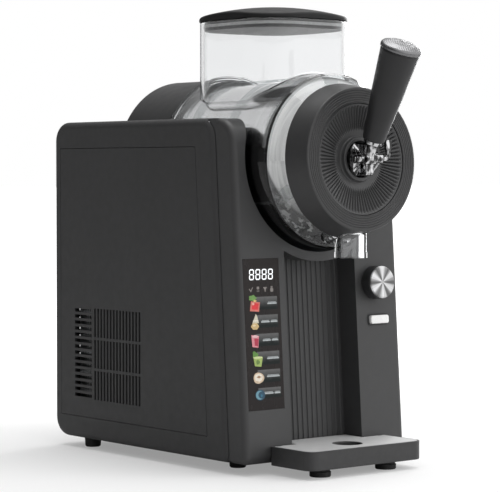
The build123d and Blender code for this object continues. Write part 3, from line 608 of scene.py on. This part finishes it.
def menu_pictures():
    """Berry, cone, pink drink, green drink, bowl and crescent."""
    wedge = [(-4.6, -4.6), (3.4, -5.4), (4.6, 2.2), (-3.4, 3.4)]
    inner_wedge = [(-3.2, -3.2), (2.2, -3.8), (3.2, 1.2), (-2.4, 2.2)]
    drawing(0, "berry", [
        ("leaf", blob(6.4, 4.6, 5, 0.12), -1.8, 5.2, (0.16, 0.34, 0.08)),
        ("rind", wedge, 0.2, -0.8, (0.72, 0.20, 0.16)),
        ("flesh", inner_wedge, 0.4, -0.8, (0.78, 0.03, 0.04)),
        ("shine", blob(1.8, 2.6, 2, 0.2), -1.6, 0.4, (0.85, 0.42, 0.36)),
        ("tip", blob(2.6, 1.8, 3, 0.1), 0.2, 2.8, (0.80, 0.62, 0.22)),
    ])
    drawing(1, "cone", [
        ("cream", [(-2.6, -1.2), (0.8, 6.4), (2.0, 4.6), (3.2, -1.2)], -0.2, 0.6, (0.70, 0.66, 0.52)),
        ("swirl", blob(4.4, 1.5, 2, 0.15), 0.3, 1.4, (0.85, 0.80, 0.70)),
        ("scoop", blob(6.8, 5.4, 6, 0.05), -0.6, -3.2, (0.66, 0.48, 0.22)),
        ("gloss", blob(2.8, 1.6, 3, 0.1), -1.4, -2.4, (0.86, 0.72, 0.46)),
    ])
    drawing(2, "pink_drink", [
        ("glass", [(-3.4, 5.0), (3.4, 3.8), (2.4, -5.6), (-2.8, -4.8)], -0.8, 0.2, (0.74, 0.26, 0.30)),
        ("fill", [(-1.2, 2.4), (2.6, 1.8), (1.8, -4.2), (-1.0, -3.6)], -0.4, 0.0, (0.46, 0.03, 0.07)),
        ("froth", blob(5.4, 2.4, 4, 0.08), -1.0, 3.8, (0.84, 0.52, 0.54)),
    ])
    drawing(3, "green_drink", [
        ("leaf", blob(4.8, 5.4, 3, 0.2), -1.6, 3.8, (0.12, 0.28, 0.05)),
        ("glass", [(-3.8, 2.6), (4.6, 1.4), (3.0, -5.8), (-2.6, -5.0)], 0.6, -0.4, (0.38, 0.50, 0.14)),
        ("rim", blob(7.8, 2.0, 2, 0.05), 1.0, 1.4, (0.66, 0.74, 0.36)),
        ("fill", blob(3.2, 3.6, 3, 0.1), 0.8, -2.4, (0.14, 0.24, 0.05)),
    ])
    drawing(4, "bowl", [
        ("cup", blob(9.4, 9.0, 3, 0.04), 1.0, -0.6, (0.72, 0.56, 0.40)),
        ("cream", blob(7.2, 6.4, 5, 0.05), 1.0, -0.2, (0.86, 0.78, 0.66)),
        ("crumbs", blob(3.4, 1.6, 4, 0.25), 1.2, 0.2, (0.36, 0.20, 0.10)),
    ])
    crescent = arc((0, 0), 3.6, 60, 300, 18) + arc((1.5, 0), 2.9, 285, 75, 14)
    drawing(5, "crescent", [
        ("ring", blob(8.4, 8.8, 2, 0.02), 1.8, -0.8, (0.015, 0.07, 0.12)),
        ("moon", crescent, 1.4, -0.8, (0.16, 0.34, 0.42)),
        ("drop", blob(1.4, 2.8, 2, 0.1), 3.0, -1.4, (0.04, 0.18, 0.28)),
    ])


# ---- materials -------------------------------------------------------
class Surface:
    """A Principled material with short ways to add nodes. Patterns are in mm on the object."""

    def __init__(self, name, **settings):
        self.material = bpy.data.materials.new(name)
        self.material.use_nodes = True
        self.tree = self.material.node_tree
        self.shader = self.tree.nodes["Principled BSDF"]
        for key, value in settings.items():
            self.shader.inputs[key.replace("_", " ")].default_value = value
        scale = self.add("ShaderNodeVectorMath", operation="SCALE")
        self.tree.links.new(self.add("ShaderNodeTexCoord").outputs["Object"], scale.inputs[0])
        scale.inputs["Scale"].default_value = 1000.0
        self.place = scale.outputs["Vector"]

    def add(self, kind, **settings):
        """A new node with its settings."""
        node = self.tree.nodes.new(kind)
        for key, value in settings.items():
            setattr(node, key, value)
        return node

    def link(self, source, node, socket):
        """Join an output to a node's input, given by name or number."""
        self.tree.links.new(source, node.inputs[socket])

    def stretched(self, stretch):
        """The place with each axis scaled, to draw a pattern out into lines."""
        return self.vectors("MULTIPLY", self.place, stretch)

    def noise(self, size, detail=2.0, stretch=None, place=None):
        """Noise with features of about size mm, over the piece's own place if no other is given."""
        node = self.add("ShaderNodeTexNoise")
        own_place = self.stretched(stretch) if stretch else self.place
        self.link(place or own_place, node, "Vector")
        node.inputs["Scale"].default_value = 1.0 / size
        node.inputs["Detail"].default_value = detail
        return node.outputs["Fac"]

    def spread(self, value, low, high, start=0.3, end=0.7):
        """The value from start to end laid out from low to high."""
        node = self.add("ShaderNodeMapRange")
        self.link(value, node, "Value")
        node.inputs["From Min"].default_value = start
        node.inputs["From Max"].default_value = end
        node.inputs["To Min"].default_value = low
        node.inputs["To Max"].default_value = high
        return node.outputs["Result"]

    def mixed(self, factor, first, second):
        """A colour between two, each a tuple or a socket."""
        node = self.add("ShaderNodeMix", data_type="RGBA")
        self.link(factor, node, "Factor")
        for socket, colour in ((6, first), (7, second)):
            if isinstance(colour, tuple):
                node.inputs[socket].default_value = (*colour, 1.0)
            else:
                self.link(colour, node, socket)
        return node.outputs[2]

    def rise(self, value, start, end):
        """0 up to start and 1 from end."""
        return self.spread(value, 0.0, 1.0, start, end)

    def fall(self, value, start, end):
        """1 up to start and 0 from end."""
        return self.spread(value, 1.0, 0.0, start, end)

    def mottled(self, noise, first, second):
        """Two colours laid out over a noise."""
        return self.mixed(self.spread(noise, 0.0, 1.0), first, second)

    def maths(self, operation, first, second=0.0):
        """One or two values, each a number or a socket, put through an operation."""
        node = self.add("ShaderNodeMath", operation=operation)
        for i, value in enumerate((first, second)):
            if isinstance(value, float):
                node.inputs[i].default_value = value
            else:
                self.link(value, node, i)
        return node.outputs[0]

    def edges(self, radius):
        """1 along edges sharper than the radius in mm, 0 on faces."""
        bevel = self.add("ShaderNodeBevel", samples=4)
        bevel.inputs["Radius"].default_value = radius * MM
        plain = self.add("ShaderNodeNewGeometry").outputs["Normal"]
        return self.fall(self.vectors("DOT_PRODUCT", bevel.outputs["Normal"], plain), 0.80, 0.985)

    def bump(self, height, distance, strength=1.0):
        """A bump of distance mm."""
        node = self.add("ShaderNodeBump")
        node.inputs["Strength"].default_value = strength
        node.inputs["Distance"].default_value = distance * MM
        self.link(height, node, "Height")
        return node.outputs["Normal"]

    def split(self, vector):
        """A vector's X, Y and Z."""
        node = self.add("ShaderNodeSeparateXYZ")
        self.link(vector, node, 0)
        return node.outputs["X"], node.outputs["Y"], node.outputs["Z"]

    def vector(self, x, y):
        """A vector of two values."""
        node = self.add("ShaderNodeCombineXYZ")
        self.link(x, node, 0)
        self.link(y, node, 1)
        return node.outputs["Vector"]

    def vectors(self, operation, first, second=None):
        """An operation on a vector's socket and, where it needs one, a second vector."""
        node = self.add("ShaderNodeVectorMath", operation=operation)
        self.link(first, node, 0)
        if isinstance(second, bpy.types.NodeSocket):
            self.link(second, node, 1)
        elif second is not None:
            node.inputs[1].default_value = second
        gives_number = operation in ("DOT_PRODUCT", "DISTANCE", "LENGTH")
        return node.outputs["Value" if gives_number else "Vector"]

    def set(self, socket, source):
        """Join an output to the shader."""
        self.link(source, self.shader, socket)


def grey(value):
    """A neutral colour."""
    return (value, value, value)


def moulded(name, colour, roughness, grain=0.35, depth=0.03, wear=1.35, **settings):
    """Grained moulding with slight tone drift, worn lighter along its edges."""
    s = Surface(name, **settings)
    dark = tuple(c * 0.93 for c in colour)
    light = tuple(c * 1.07 for c in colour)
    body = s.mottled(s.noise(60.0, 3.0), dark, light)
    speck = s.mottled(s.noise(grain * 1.6, 1.0), dark, light)
    tone = s.mixed(s.spread(s.noise(5.0, 2.0), 0.35, 0.65), body, speck)
    worn = tuple(c * wear for c in colour)
    edge = s.maths("MULTIPLY", s.edges(0.5), s.spread(s.noise(4.0, 3.0), 0.1, 0.8, 0.35, 0.65))
    s.set("Base Color", s.mixed(edge, tone, worn))
    s.set("Roughness", s.spread(s.noise(9.0, 4.0), roughness - 0.05, roughness + 0.06))
    s.set("Normal", s.bump(s.noise(grain, 2.0), depth))
    return s.material


def clear_plastic(name, tint, roughness=0.015):
    """Clear moulding that bends light, darker at a glancing angle, and lets lamps through."""
    s = Surface(name, IOR=1.5, Transmission_Weight=1.0)
    along = s.add("ShaderNodeLayerWeight")
    along.inputs["Blend"].default_value = 0.5
    deep = s.rise(along.outputs["Facing"], 0.64, 0.93)
    s.set("Base Color", s.mixed(deep, tint, (0.12, 0.125, 0.13)))
    s.set("Roughness", s.spread(s.noise(14.0, 3.0), roughness * 0.5, roughness * 2.2))
    s.set("Normal", s.bump(s.noise(22.0, 1.0), 0.05, 0.5))
    output = s.tree.nodes["Material Output"]
    open_air = s.add("ShaderNodeBsdfTransparent")
    open_air.inputs["Color"].default_value = (0.93, 0.95, 0.96, 1.0)
    mix = s.add("ShaderNodeMixShader")
    s.link(s.add("ShaderNodeLightPath").outputs["Is Shadow Ray"], mix, 0)
    s.link(s.shader.outputs["BSDF"], mix, 1)
    s.link(open_air.outputs["BSDF"], mix, 2)
    s.link(mix.outputs["Shader"], output, "Surface")
    return s.material


def thin_clear(name):
    """Smoke-grey clear moulding inside the clear vessel: it shows by its edges and its shine."""
    s = Surface(name, IOR=1.45, Roughness=0.08)
    s.set("Base Color", s.mottled(s.noise(9.0, 2.0), (0.12, 0.12, 0.125), (0.18, 0.18, 0.185)))
    rim = s.add("ShaderNodeLayerWeight")
    rim.inputs["Blend"].default_value = 0.25
    veil = s.spread(rim.outputs["Facing"], 0.04, 0.45, 0.0, 1.0)
    open_air = s.add("ShaderNodeBsdfTransparent")
    open_air.inputs["Color"].default_value = (0.97, 0.98, 0.98, 1.0)
    mix = s.add("ShaderNodeMixShader")
    s.link(veil, mix, 0)
    s.link(open_air.outputs["BSDF"], mix, 1)
    s.link(s.shader.outputs["BSDF"], mix, 2)
    s.link(mix.outputs["Shader"], s.tree.nodes["Material Output"], "Surface")
    return s.material


def brushed_steel(name, stretch, colour=(0.62, 0.62, 0.63), roughness=0.3):
    """Steel with fine brushing drawn out along the axis whose stretch is small."""
    s = Surface(name, Metallic=1.0)
    lines = s.noise(0.35, 3.0, stretch)
    s.set("Base Color", s.mottled(lines, tuple(c * 0.86 for c in colour), colour))
    s.set("Roughness", s.spread(s.noise(0.8, 3.0, stretch), roughness - 0.07, roughness + 0.1))
    s.set("Normal", s.bump(lines, 0.006))
    return s.material


def satin_plate_painted_hole():
    """Light satin finish with fine brushing across the tray, and painted shade inside the drain hole."""
    s = Surface("satin_plate_painted_hole", Metallic=0.08)
    lines = s.noise(0.5, 3.0, (0.03, 1.0, 1.0))
    satin = s.mottled(lines, grey(0.54), grey(0.64))
    # painted shade: within 14 mm of the drain hole's middle the plate is drawn near black, over the hole's
    # walls and crossbar
    middle = (0.0, 1000 * front_y - 26.0, 0.0)
    away = s.vectors("DISTANCE", s.stretched((1.0, 1.0, 0.0)), middle)
    hole = s.fall(away, 13.9, 14.5)
    s.set("Base Color", s.mixed(hole, satin, grey(0.004)))
    s.set("Roughness", s.spread(s.noise(1.5, 3.0, (0.03, 1.0, 1.0)), 0.45, 0.6))
    s.set("Normal", s.bump(lines, 0.01))
    return s.material


def tray_moulding_painted_well():
    """Grained moulding with painted shade, near black, on the upward faces of its well under the plate."""
    s = Surface("tray_moulding_painted_well")
    tone = s.mottled(s.noise(6.0, 3.0), (0.033, 0.033, 0.034), (0.040, 0.040, 0.041))
    edge = s.maths("MULTIPLY", s.edges(0.5), s.spread(s.noise(4.0, 3.0), 0.1, 0.8, 0.35, 0.65))
    # painted shade: upward faces below the plate's height are drawn near black
    facing = s.split(s.add("ShaderNodeNewGeometry").outputs["Normal"])[2]
    under = s.fall(s.split(s.place)[2], 23.0, 24.0)
    painted_well_shade = s.maths("MULTIPLY", under, s.rise(facing, 0.5, 0.7))
    s.set("Base Color", s.mixed(painted_well_shade, s.mixed(edge, tone, (0.06, 0.06, 0.061)), grey(0.003)))
    s.set("Roughness", s.spread(s.noise(9.0, 4.0), 0.38, 0.48))
    s.set("Normal", s.bump(s.noise(0.4, 2.0), 0.02))
    return s.material


def spun_metal_painted_fans():
    """Steel spun about the knob's axis: six soft fans of painted highlight in its colour, and fine rings.
    """
    s = Surface("spun_metal_painted_fans", Metallic=1.0)
    centre = Vector(joints["knob_turn"]["pos_m"]) * 1000
    upward = face_normal.cross(Vector((1, 0, 0)))
    offset = s.vectors("SUBTRACT", s.place, centre)
    across, up = (s.vectors("DOT_PRODUCT", offset, way) for way in (Vector((1, 0, 0)), upward))
    angle = s.maths("ARCTAN2", up, across)
    # painted highlights: six bright and six dark fans round the knob, drawn in the base colour
    fan = s.maths("COSINE", s.maths("ADD", s.maths("MULTIPLY", angle, 6.0), math.pi))
    round_way = s.vector(s.maths("COSINE", angle), s.maths("SINE", angle))
    streaks = s.noise(0.2, 3.0, place=round_way)
    painted_fan_highlights = s.rise(s.maths("ADD", s.maths("MULTIPLY", fan, 0.36), streaks), 0.15, 0.85)
    s.set("Base Color", s.mixed(painted_fan_highlights, grey(0.16), (0.86, 0.86, 0.87)))
    rings = s.maths("SINE", s.maths("MULTIPLY", s.vectors("LENGTH", offset), 9.0))
    s.set("Roughness", s.spread(streaks, 0.28, 0.42))
    s.set("Normal", s.bump(rings, 0.01))
    return s.material


def swirled_enamel(s, height, sideways, radius):
    """Pale enamel with soft arcs about the drum's axis."""
    polar = s.vector(s.maths("MULTIPLY", radius, 0.22), s.maths("ARCTAN2", height, sideways))
    arcs = s.rise(s.noise(1.0, place=polar), 0.38, 0.62)
    return s.mixed(arcs, grey(0.56), (0.84, 0.84, 0.83))


def drum_metal_painted_light():
    """Turned steel with painted light on its side, a lit band on top and painted shade near and below the
    axis; a pale enamelled end with a painted shade crescent, painted glints at its foot and a painted
    glow.
    """
    s = Surface("drum_metal_painted_light")
    sideways, back, z = s.split(s.place)
    drum_low, drum_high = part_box("evaporator_drum")
    drum_radius = 500 * (drum_high.x - drum_low.x)
    end_plane = 1000 * drum_low.y + 3.5
    cylinder = s.rise(back, end_plane - 0.5, end_plane + 0.5)
    foot = s.fall(z, axis_mm - 62.0, axis_mm - 18.0)
    steel = s.maths("MAXIMUM", cylinder, foot)

    rings = s.noise(1.4, 3.0, (0.01, 1.0, 0.01))
    # painted light on the drum's side: a lit band above the axis, painted shade near and below it
    upper = s.rise(z, axis_mm + 12.0, axis_mm + 17.0)
    painted_shade_below = s.fall(z, axis_mm - 70.0, axis_mm - 8.0)
    turned_and_painted_tone = s.mottled(rings, grey(0.58), grey(0.68))
    turned_and_painted_tone = s.mixed(upper, s.mixed(painted_shade_below, grey(0.035), grey(0.17)), turned_and_painted_tone)
    # painted glints: dark and bright flecks on the steel at the end's foot
    painted_glints = s.rise(s.noise(5.0, 2.0, (0.6, 1.0, 1.0)), 0.54, 0.62)
    turned_and_painted_tone = s.mixed(cylinder, s.mixed(painted_glints, grey(0.02), grey(0.75)), turned_and_painted_tone)

    # painted shade: a dark crescent round the end's rim, widening below the axis
    height = s.maths("SUBTRACT", z, axis_mm)
    squares = s.maths("ADD", s.maths("POWER", height, 2.0), s.maths("POWER", sideways, 2.0))
    radius = s.maths("SQRT", squares)
    depth = s.maths("MAXIMUM", s.maths("MULTIPLY", height, -1.0), 0.0)
    reach = s.maths("ADD", radius, s.maths("MULTIPLY", depth, 0.42))
    crescent = s.rise(reach, drum_radius - 3.5, drum_radius - 0.5)
    enamel = s.mixed(crescent, swirled_enamel(s, height, sideways, radius), grey(0.07))

    s.set("Base Color", s.mixed(steel, enamel, turned_and_painted_tone))
    s.set("Metallic", steel)
    s.set("Roughness", s.maths("MAXIMUM", s.spread(rings, 0.10, 0.2), s.maths("SUBTRACT", 0.4, steel)))
    s.set("Normal", s.bump(rings, 0.004))
    # painted glow: the enamelled end glows though it is no lamp, more higher up, none in the crescent or
    # on the steel
    s.shader.inputs["Emission Color"].default_value = (1.0, 1.0, 1.0, 1.0)
    light = s.spread(z, 0.02, 0.2, axis_mm - 50.0, axis_mm + 30.0)
    glow = s.maths("MULTIPLY", light, s.maths("SUBTRACT", 1.0, crescent))
    s.set("Emission Strength", s.maths("MULTIPLY", glow, s.maths("SUBTRACT", 1.0, steel)))
    return s.material


def polished(name, colour, roughness=0.08):
    """Plated metal with faint handling marks."""
    s = Surface(name, Metallic=1.0)
    haze = s.noise(6.0, 4.0)
    s.set("Base Color", s.mottled(haze, tuple(c * 0.92 for c in colour), colour))
    s.set("Roughness", s.spread(haze, roughness * 0.6, roughness * 1.8))
    s.set("Normal", s.bump(s.noise(1.5, 2.0), 0.004))
    return s.material


def chrome_painted_reflections(name):
    """Polished plating with painted reflections: dark and bright streaks in its colour."""
    s = Surface(name, Metallic=1.0)
    # painted reflections: streaks of near black and bright grey drawn in the base colour
    painted_reflection_streak = s.noise(3.2, 2.0, (1.0, 1.0, 0.4))
    tone = s.mixed(s.rise(painted_reflection_streak, 0.44, 0.60), grey(0.05), (0.72, 0.72, 0.73))
    s.set("Base Color", tone)
    s.set("Roughness", s.spread(s.noise(5.0, 3.0), 0.05, 0.16))
    s.set("Normal", s.bump(s.noise(4.0, 2.0), 0.2))
    return s.material


def rubber(name, colour, roughness=0.75, **settings):
    """Dull rubber with a fine uneven grain."""
    s = Surface(name, **settings)
    dusty = tuple(c * 1.5 for c in colour)
    s.set("Base Color", s.mottled(s.noise(3.0, 4.0), colour, dusty))
    s.set("Roughness", s.spread(s.noise(2.0, 3.0), roughness - 0.08, roughness + 0.08))
    s.set("Normal", s.bump(s.noise(0.5, 3.0), 0.02))
    return s.material


def printed_glass():
    """Black-backed touch glass with faint smears."""
    s = Surface("printed_glass", Specular_IOR_Level=0.22)
    tone = s.mottled(s.noise(35.0, 2.0), (0.016, 0.013, 0.013), (0.020, 0.016, 0.015))
    s.set("Base Color", tone)
    smear = s.noise(11.0, 5.0, (1.0, 1.0, 0.5))
    s.set("Roughness", s.spread(smear, 0.16, 0.34))
    return s.material


def lit(name, colour, strength):
    """A lit print whose glow is slightly uneven."""
    s = Surface(name, Roughness=0.4)
    shade = s.mottled(s.noise(2.5, 2.0), tuple(c * 0.82 for c in colour), colour)
    s.set("Base Color", shade)
    s.set("Emission Color", shade)
    s.shader.inputs["Emission Strength"].default_value = strength
    return s.material


def faded_tile():
    """A tile that fades from grey at its top to near black at its foot."""
    s = Surface("faded_tile", Roughness=0.35, Specular_IOR_Level=0.2)
    height = s.split(s.add("ShaderNodeTexCoord").outputs["Generated"])[2]
    uneven = s.maths("ADD", height, s.spread(s.noise(4.0, 2.0), -0.06, 0.06))
    fade = s.rise(uneven, 0.2, 1.0)
    s.set("Base Color", s.mixed(fade, (0.008, 0.012, 0.012), grey(0.13)))
    return s.material


def circuit_board():
    """Green board with faint tracks."""
    s = Surface("circuit_board", Roughness=0.4)
    tracks = s.noise(1.6, 0.0, (1.0, 1.0, 0.4))
    raised = s.rise(tracks, 0.49, 0.51)
    s.set("Base Color", s.mixed(raised, (0.010, 0.055, 0.022), (0.02, 0.10, 0.04)))
    s.set("Normal", s.bump(tracks, 0.03))
    return s.material


def make_materials():
    """Every material by the record's slot name."""
    return {
        "cover_plastic": moulded("cover_plastic", (0.038, 0.038, 0.039), 0.5),
        "fascia_plastic": moulded("fascia_plastic", (0.045, 0.045, 0.046), 0.46),
        "cap_plastic": moulded("cap_plastic", (0.037, 0.037, 0.038), 0.44, grain=0.5, depth=0.02),
        "lid_plastic": moulded("lid_plastic", (0.009, 0.009, 0.0095), 0.5, Specular_IOR_Level=0.32),
        "grip_plastic": moulded("grip_plastic", (0.021, 0.021, 0.022), 0.45, grain=0.3, depth=0.012),
        "clear_plastic": clear_plastic("clear_plastic", (0.93, 0.935, 0.94)),
        "seal_rubber": rubber("seal_rubber", grey(0.42), 0.5, Transmission_Weight=0.35),
        "foot_rubber": rubber("foot_rubber", grey(0.02)),
        "steel": brushed_steel("steel", (0.02, 1.0, 1.0)),
        "bright_metal": polished("bright_metal", (0.56, 0.56, 0.57)),
        "insert_plastic": moulded("insert_plastic", (0.82, 0.82, 0.80), 0.3, depth=0.004, wear=1.0),
        "auger_plastic": moulded("auger_plastic", (0.03, 0.03, 0.032), 0.3, depth=0.01),
        "gear_plastic": moulded("gear_plastic", (0.55, 0.54, 0.50), 0.4),
        "bronze": brushed_steel("bronze", (1.0, 0.05, 1.0), (0.60, 0.42, 0.22), 0.35),
        "copper": polished("copper", (0.72, 0.36, 0.24), 0.25),
        "fin_aluminium": brushed_steel("fin_aluminium", (1.0, 1.0, 0.05), (0.72, 0.73, 0.74), 0.35),
        "black_metal": moulded("black_metal", (0.022, 0.022, 0.023), 0.35, grain=0.8, depth=0.02),
        "screw_steel": polished("screw_steel", (0.38, 0.38, 0.39), 0.25),
        "display_glass": printed_glass(),
        "board": circuit_board(),
        "white_button": moulded("white_button", (0.88, 0.88, 0.87), 0.25, depth=0.004, wear=1.0),
    }


# ---- dress the CAD nodes and add the fine pieces ---------------------
materials = make_materials()
for entry in record["subparts"]:
    node = nodes[entry["node"]]
    for place in node.material_slots:
        place.material = materials[entry["material_slot"]]
hub_chrome = chrome_painted_reflections("hub_chrome")
special = {
    "hub_bracket": hub_chrome,
    "pivot_pin": hub_chrome,
    "lever_fork": hub_chrome,
    "vessel_gasket": rubber("dark_gasket", grey(0.02), 0.5),
    "tray_body": tray_moulding_painted_well(),
    "auger": thin_clear("auger_clear"),
    "knob_cap": spun_metal_painted_fans(),
    "tray_plate": satin_plate_painted_hole(),
    "evaporator_drum": drum_metal_painted_light(),
}
for name, material in special.items():
    for place in nodes[name].material_slots:
        place.material = material


def dressed(piece, material):
    """The piece with the material as its only one."""
    piece.data.materials.clear()
    piece.data.materials.append(material)
    return piece


dressed(clear_vessel(), materials["clear_plastic"])
dressed(cap_collar(), materials["cap_plastic"])
# the dish is the cap's plastic drawn lighter: painted light on its face
dressed(cap_dish(), moulded("dish_plastic_painted_light", (0.05, 0.05, 0.051), 0.42, grain=0.5, depth=0.02))
dressed(grip_end_cap(), polished("knurled_steel", (0.25, 0.25, 0.255), 0.22))
dressed(clock_figures(), lit("figure_glow", (0.88, 0.90, 0.92), 0.7))
dressed(status_marks(), lit("mark_glow", (0.20, 0.18, 0.17), 0.25))
tile_fade = faded_tile()
menu_tiles()
menu_pictures()


# ---- floor, light and camera -----------------------------------------
def studio_floor():
    """A large pale floor, lit up for the camera so that only soft shadows show on it."""
    size = 30.0
    glow_start, glow_end = 350.0, 2200.0  # mm from the middle, where the glow starts and is full
    mesh = bpy.data.meshes.new("studio_floor")
    corners = [(-size, -size, 0), (size, -size, 0), (size, size, 0), (-size, size, 0)]
    mesh.from_pydata(corners, [], [(0, 1, 2, 3)])
    floor = bpy.data.objects.new("studio_floor", mesh)
    bpy.context.scene.collection.objects.link(floor)
    s = Surface("floor_paint", Roughness=0.9)
    s.shader.inputs["Specular IOR Level"].default_value = 0.0
    tone = s.mottled(s.noise(900.0, 2.0), grey(0.60), grey(0.62))
    s.set("Base Color", tone)
    glow = s.add("ShaderNodeEmission")
    away = s.vectors("LENGTH", s.place)
    s.link(s.spread(away, 0.30, 1.0, glow_start, glow_end), glow, "Strength")
    both = s.add("ShaderNodeAddShader")
    s.link(s.shader.outputs["BSDF"], both, 0)
    s.link(glow.outputs["Emission"], both, 1)
    seen = s.add("ShaderNodeMixShader")
    s.link(white_rays(s.tree), seen, 0)
    s.link(s.shader.outputs["BSDF"], seen, 1)
    s.link(both.outputs["Shader"], seen, 2)
    s.link(seen.outputs["Shader"], s.tree.nodes["Material Output"], "Surface")
    dressed(floor, s.material)


def white_rays(tree):
    """1 for what the camera sees directly or through the clear parts, 0 for other rays."""
    path = tree.nodes.new("ShaderNodeLightPath")
    either = tree.nodes.new("ShaderNodeMath")
    either.operation = "MAXIMUM"
    tree.links.new(path.outputs["Is Camera Ray"], either.inputs[0])
    tree.links.new(path.outputs["Is Transmission Ray"], either.inputs[1])
    return either.outputs[0]


def soft_box(name, place, target, width, height, power, mirrored=True):
    """An oblong lamp that faces a point, and may or may not show in shiny surfaces."""
    lamp = bpy.data.lights.new(name, "AREA")
    lamp.shape = "RECTANGLE"
    lamp.size, lamp.size_y, lamp.energy = width, height, power
    obj = bpy.data.objects.new(name, lamp)
    obj.visible_glossy = mirrored
    obj.visible_transmission = False
    obj.location = place
    obj.rotation_euler = (Vector(target) - Vector(place)).to_track_quat("-Z", "Y").to_euler()
    bpy.context.scene.collection.objects.link(obj)


def studio_air():
    """Room light, dim on the left and bright on the front right, before a white backdrop."""
    world = bpy.data.worlds.new("studio_air")
    bpy.context.scene.world = world
    world.use_nodes = True
    tree = world.node_tree
    room = tree.nodes["Background"]
    room.inputs["Color"].default_value = (1.0, 1.0, 1.0, 1.0)
    towards = tree.nodes.new("ShaderNodeVectorMath")
    towards.operation = "DOT_PRODUCT"
    tree.links.new(tree.nodes.new("ShaderNodeTexCoord").outputs["Generated"], towards.inputs[0])
    towards.inputs[1].default_value = Vector((0.62, -0.62, 0.48)).normalized()
    strength = tree.nodes.new("ShaderNodeMapRange")
    strength.interpolation_type = "SMOOTHSTEP"
    tree.links.new(towards.outputs["Value"], strength.inputs["Value"])
    strength.inputs["From Min"].default_value = -0.55
    strength.inputs["From Max"].default_value = 1.0
    strength.inputs["To Min"].default_value = 0.12
    strength.inputs["To Max"].default_value = 1.15
    tree.links.new(strength.outputs["Result"], room.inputs["Strength"])
    white = tree.nodes.new("ShaderNodeBackground")
    white.inputs["Color"].default_value = (1.0, 1.0, 1.0, 1.0)
    white.inputs["Strength"].default_value = 1.0
    mix = tree.nodes.new("ShaderNodeMixShader")
    tree.links.new(white_rays(tree), mix.inputs[0])
    tree.links.new(room.outputs[0], mix.inputs[1])
    tree.links.new(white.outputs[0], mix.inputs[2])
    tree.links.new(mix.outputs[0], tree.nodes["World Output"].inputs["Surface"])


def camera():
    """A long lens from the front left, looking slightly down."""
    yaw, pitch = math.radians(39.057), math.radians(-2.023)
    place = in_frame(-1279.4, -1460.5, 275.4)
    look = Vector((math.sin(yaw) * math.cos(pitch), math.cos(yaw) * math.cos(pitch), math.sin(pitch)))
    lens = bpy.data.cameras.new("camera")
    lens.lens, lens.sensor_width, lens.sensor_fit = 150.8, 36.0, "HORIZONTAL"
    obj = bpy.data.objects.new("camera", lens)
    obj.location = place
    obj.rotation_euler = look.to_track_quat("-Z", "Y").to_euler()
    bpy.context.scene.collection.objects.link(obj)
    bpy.context.scene.camera = obj


studio_floor()
studio_air()
soft_box("key_box", (1.5, -1.7, 1.0), (0, 0, 0.2), 1.2, 1.4, 15, mirrored=False)
soft_box("top_box", (0.1, 0.1, 1.9), (0, 0, 0.2), 1.4, 1.4, 17)
soft_box("rim_box", (1.5, 0.75, 0.55), (0, 0, 0.3), 0.5, 1.2, 14)
camera()

# enough bounces to see through the vessel's four walls and what is behind them
scene = bpy.context.scene
scene.view_settings.view_transform = "Standard"
scene.cycles.max_bounces = 16
scene.cycles.transmission_bounces = 14
scene.cycles.transparent_max_bounces = 24
scene.cycles.sample_clamp_indirect = 4.0
scene.cycles.blur_glossy = 0.5
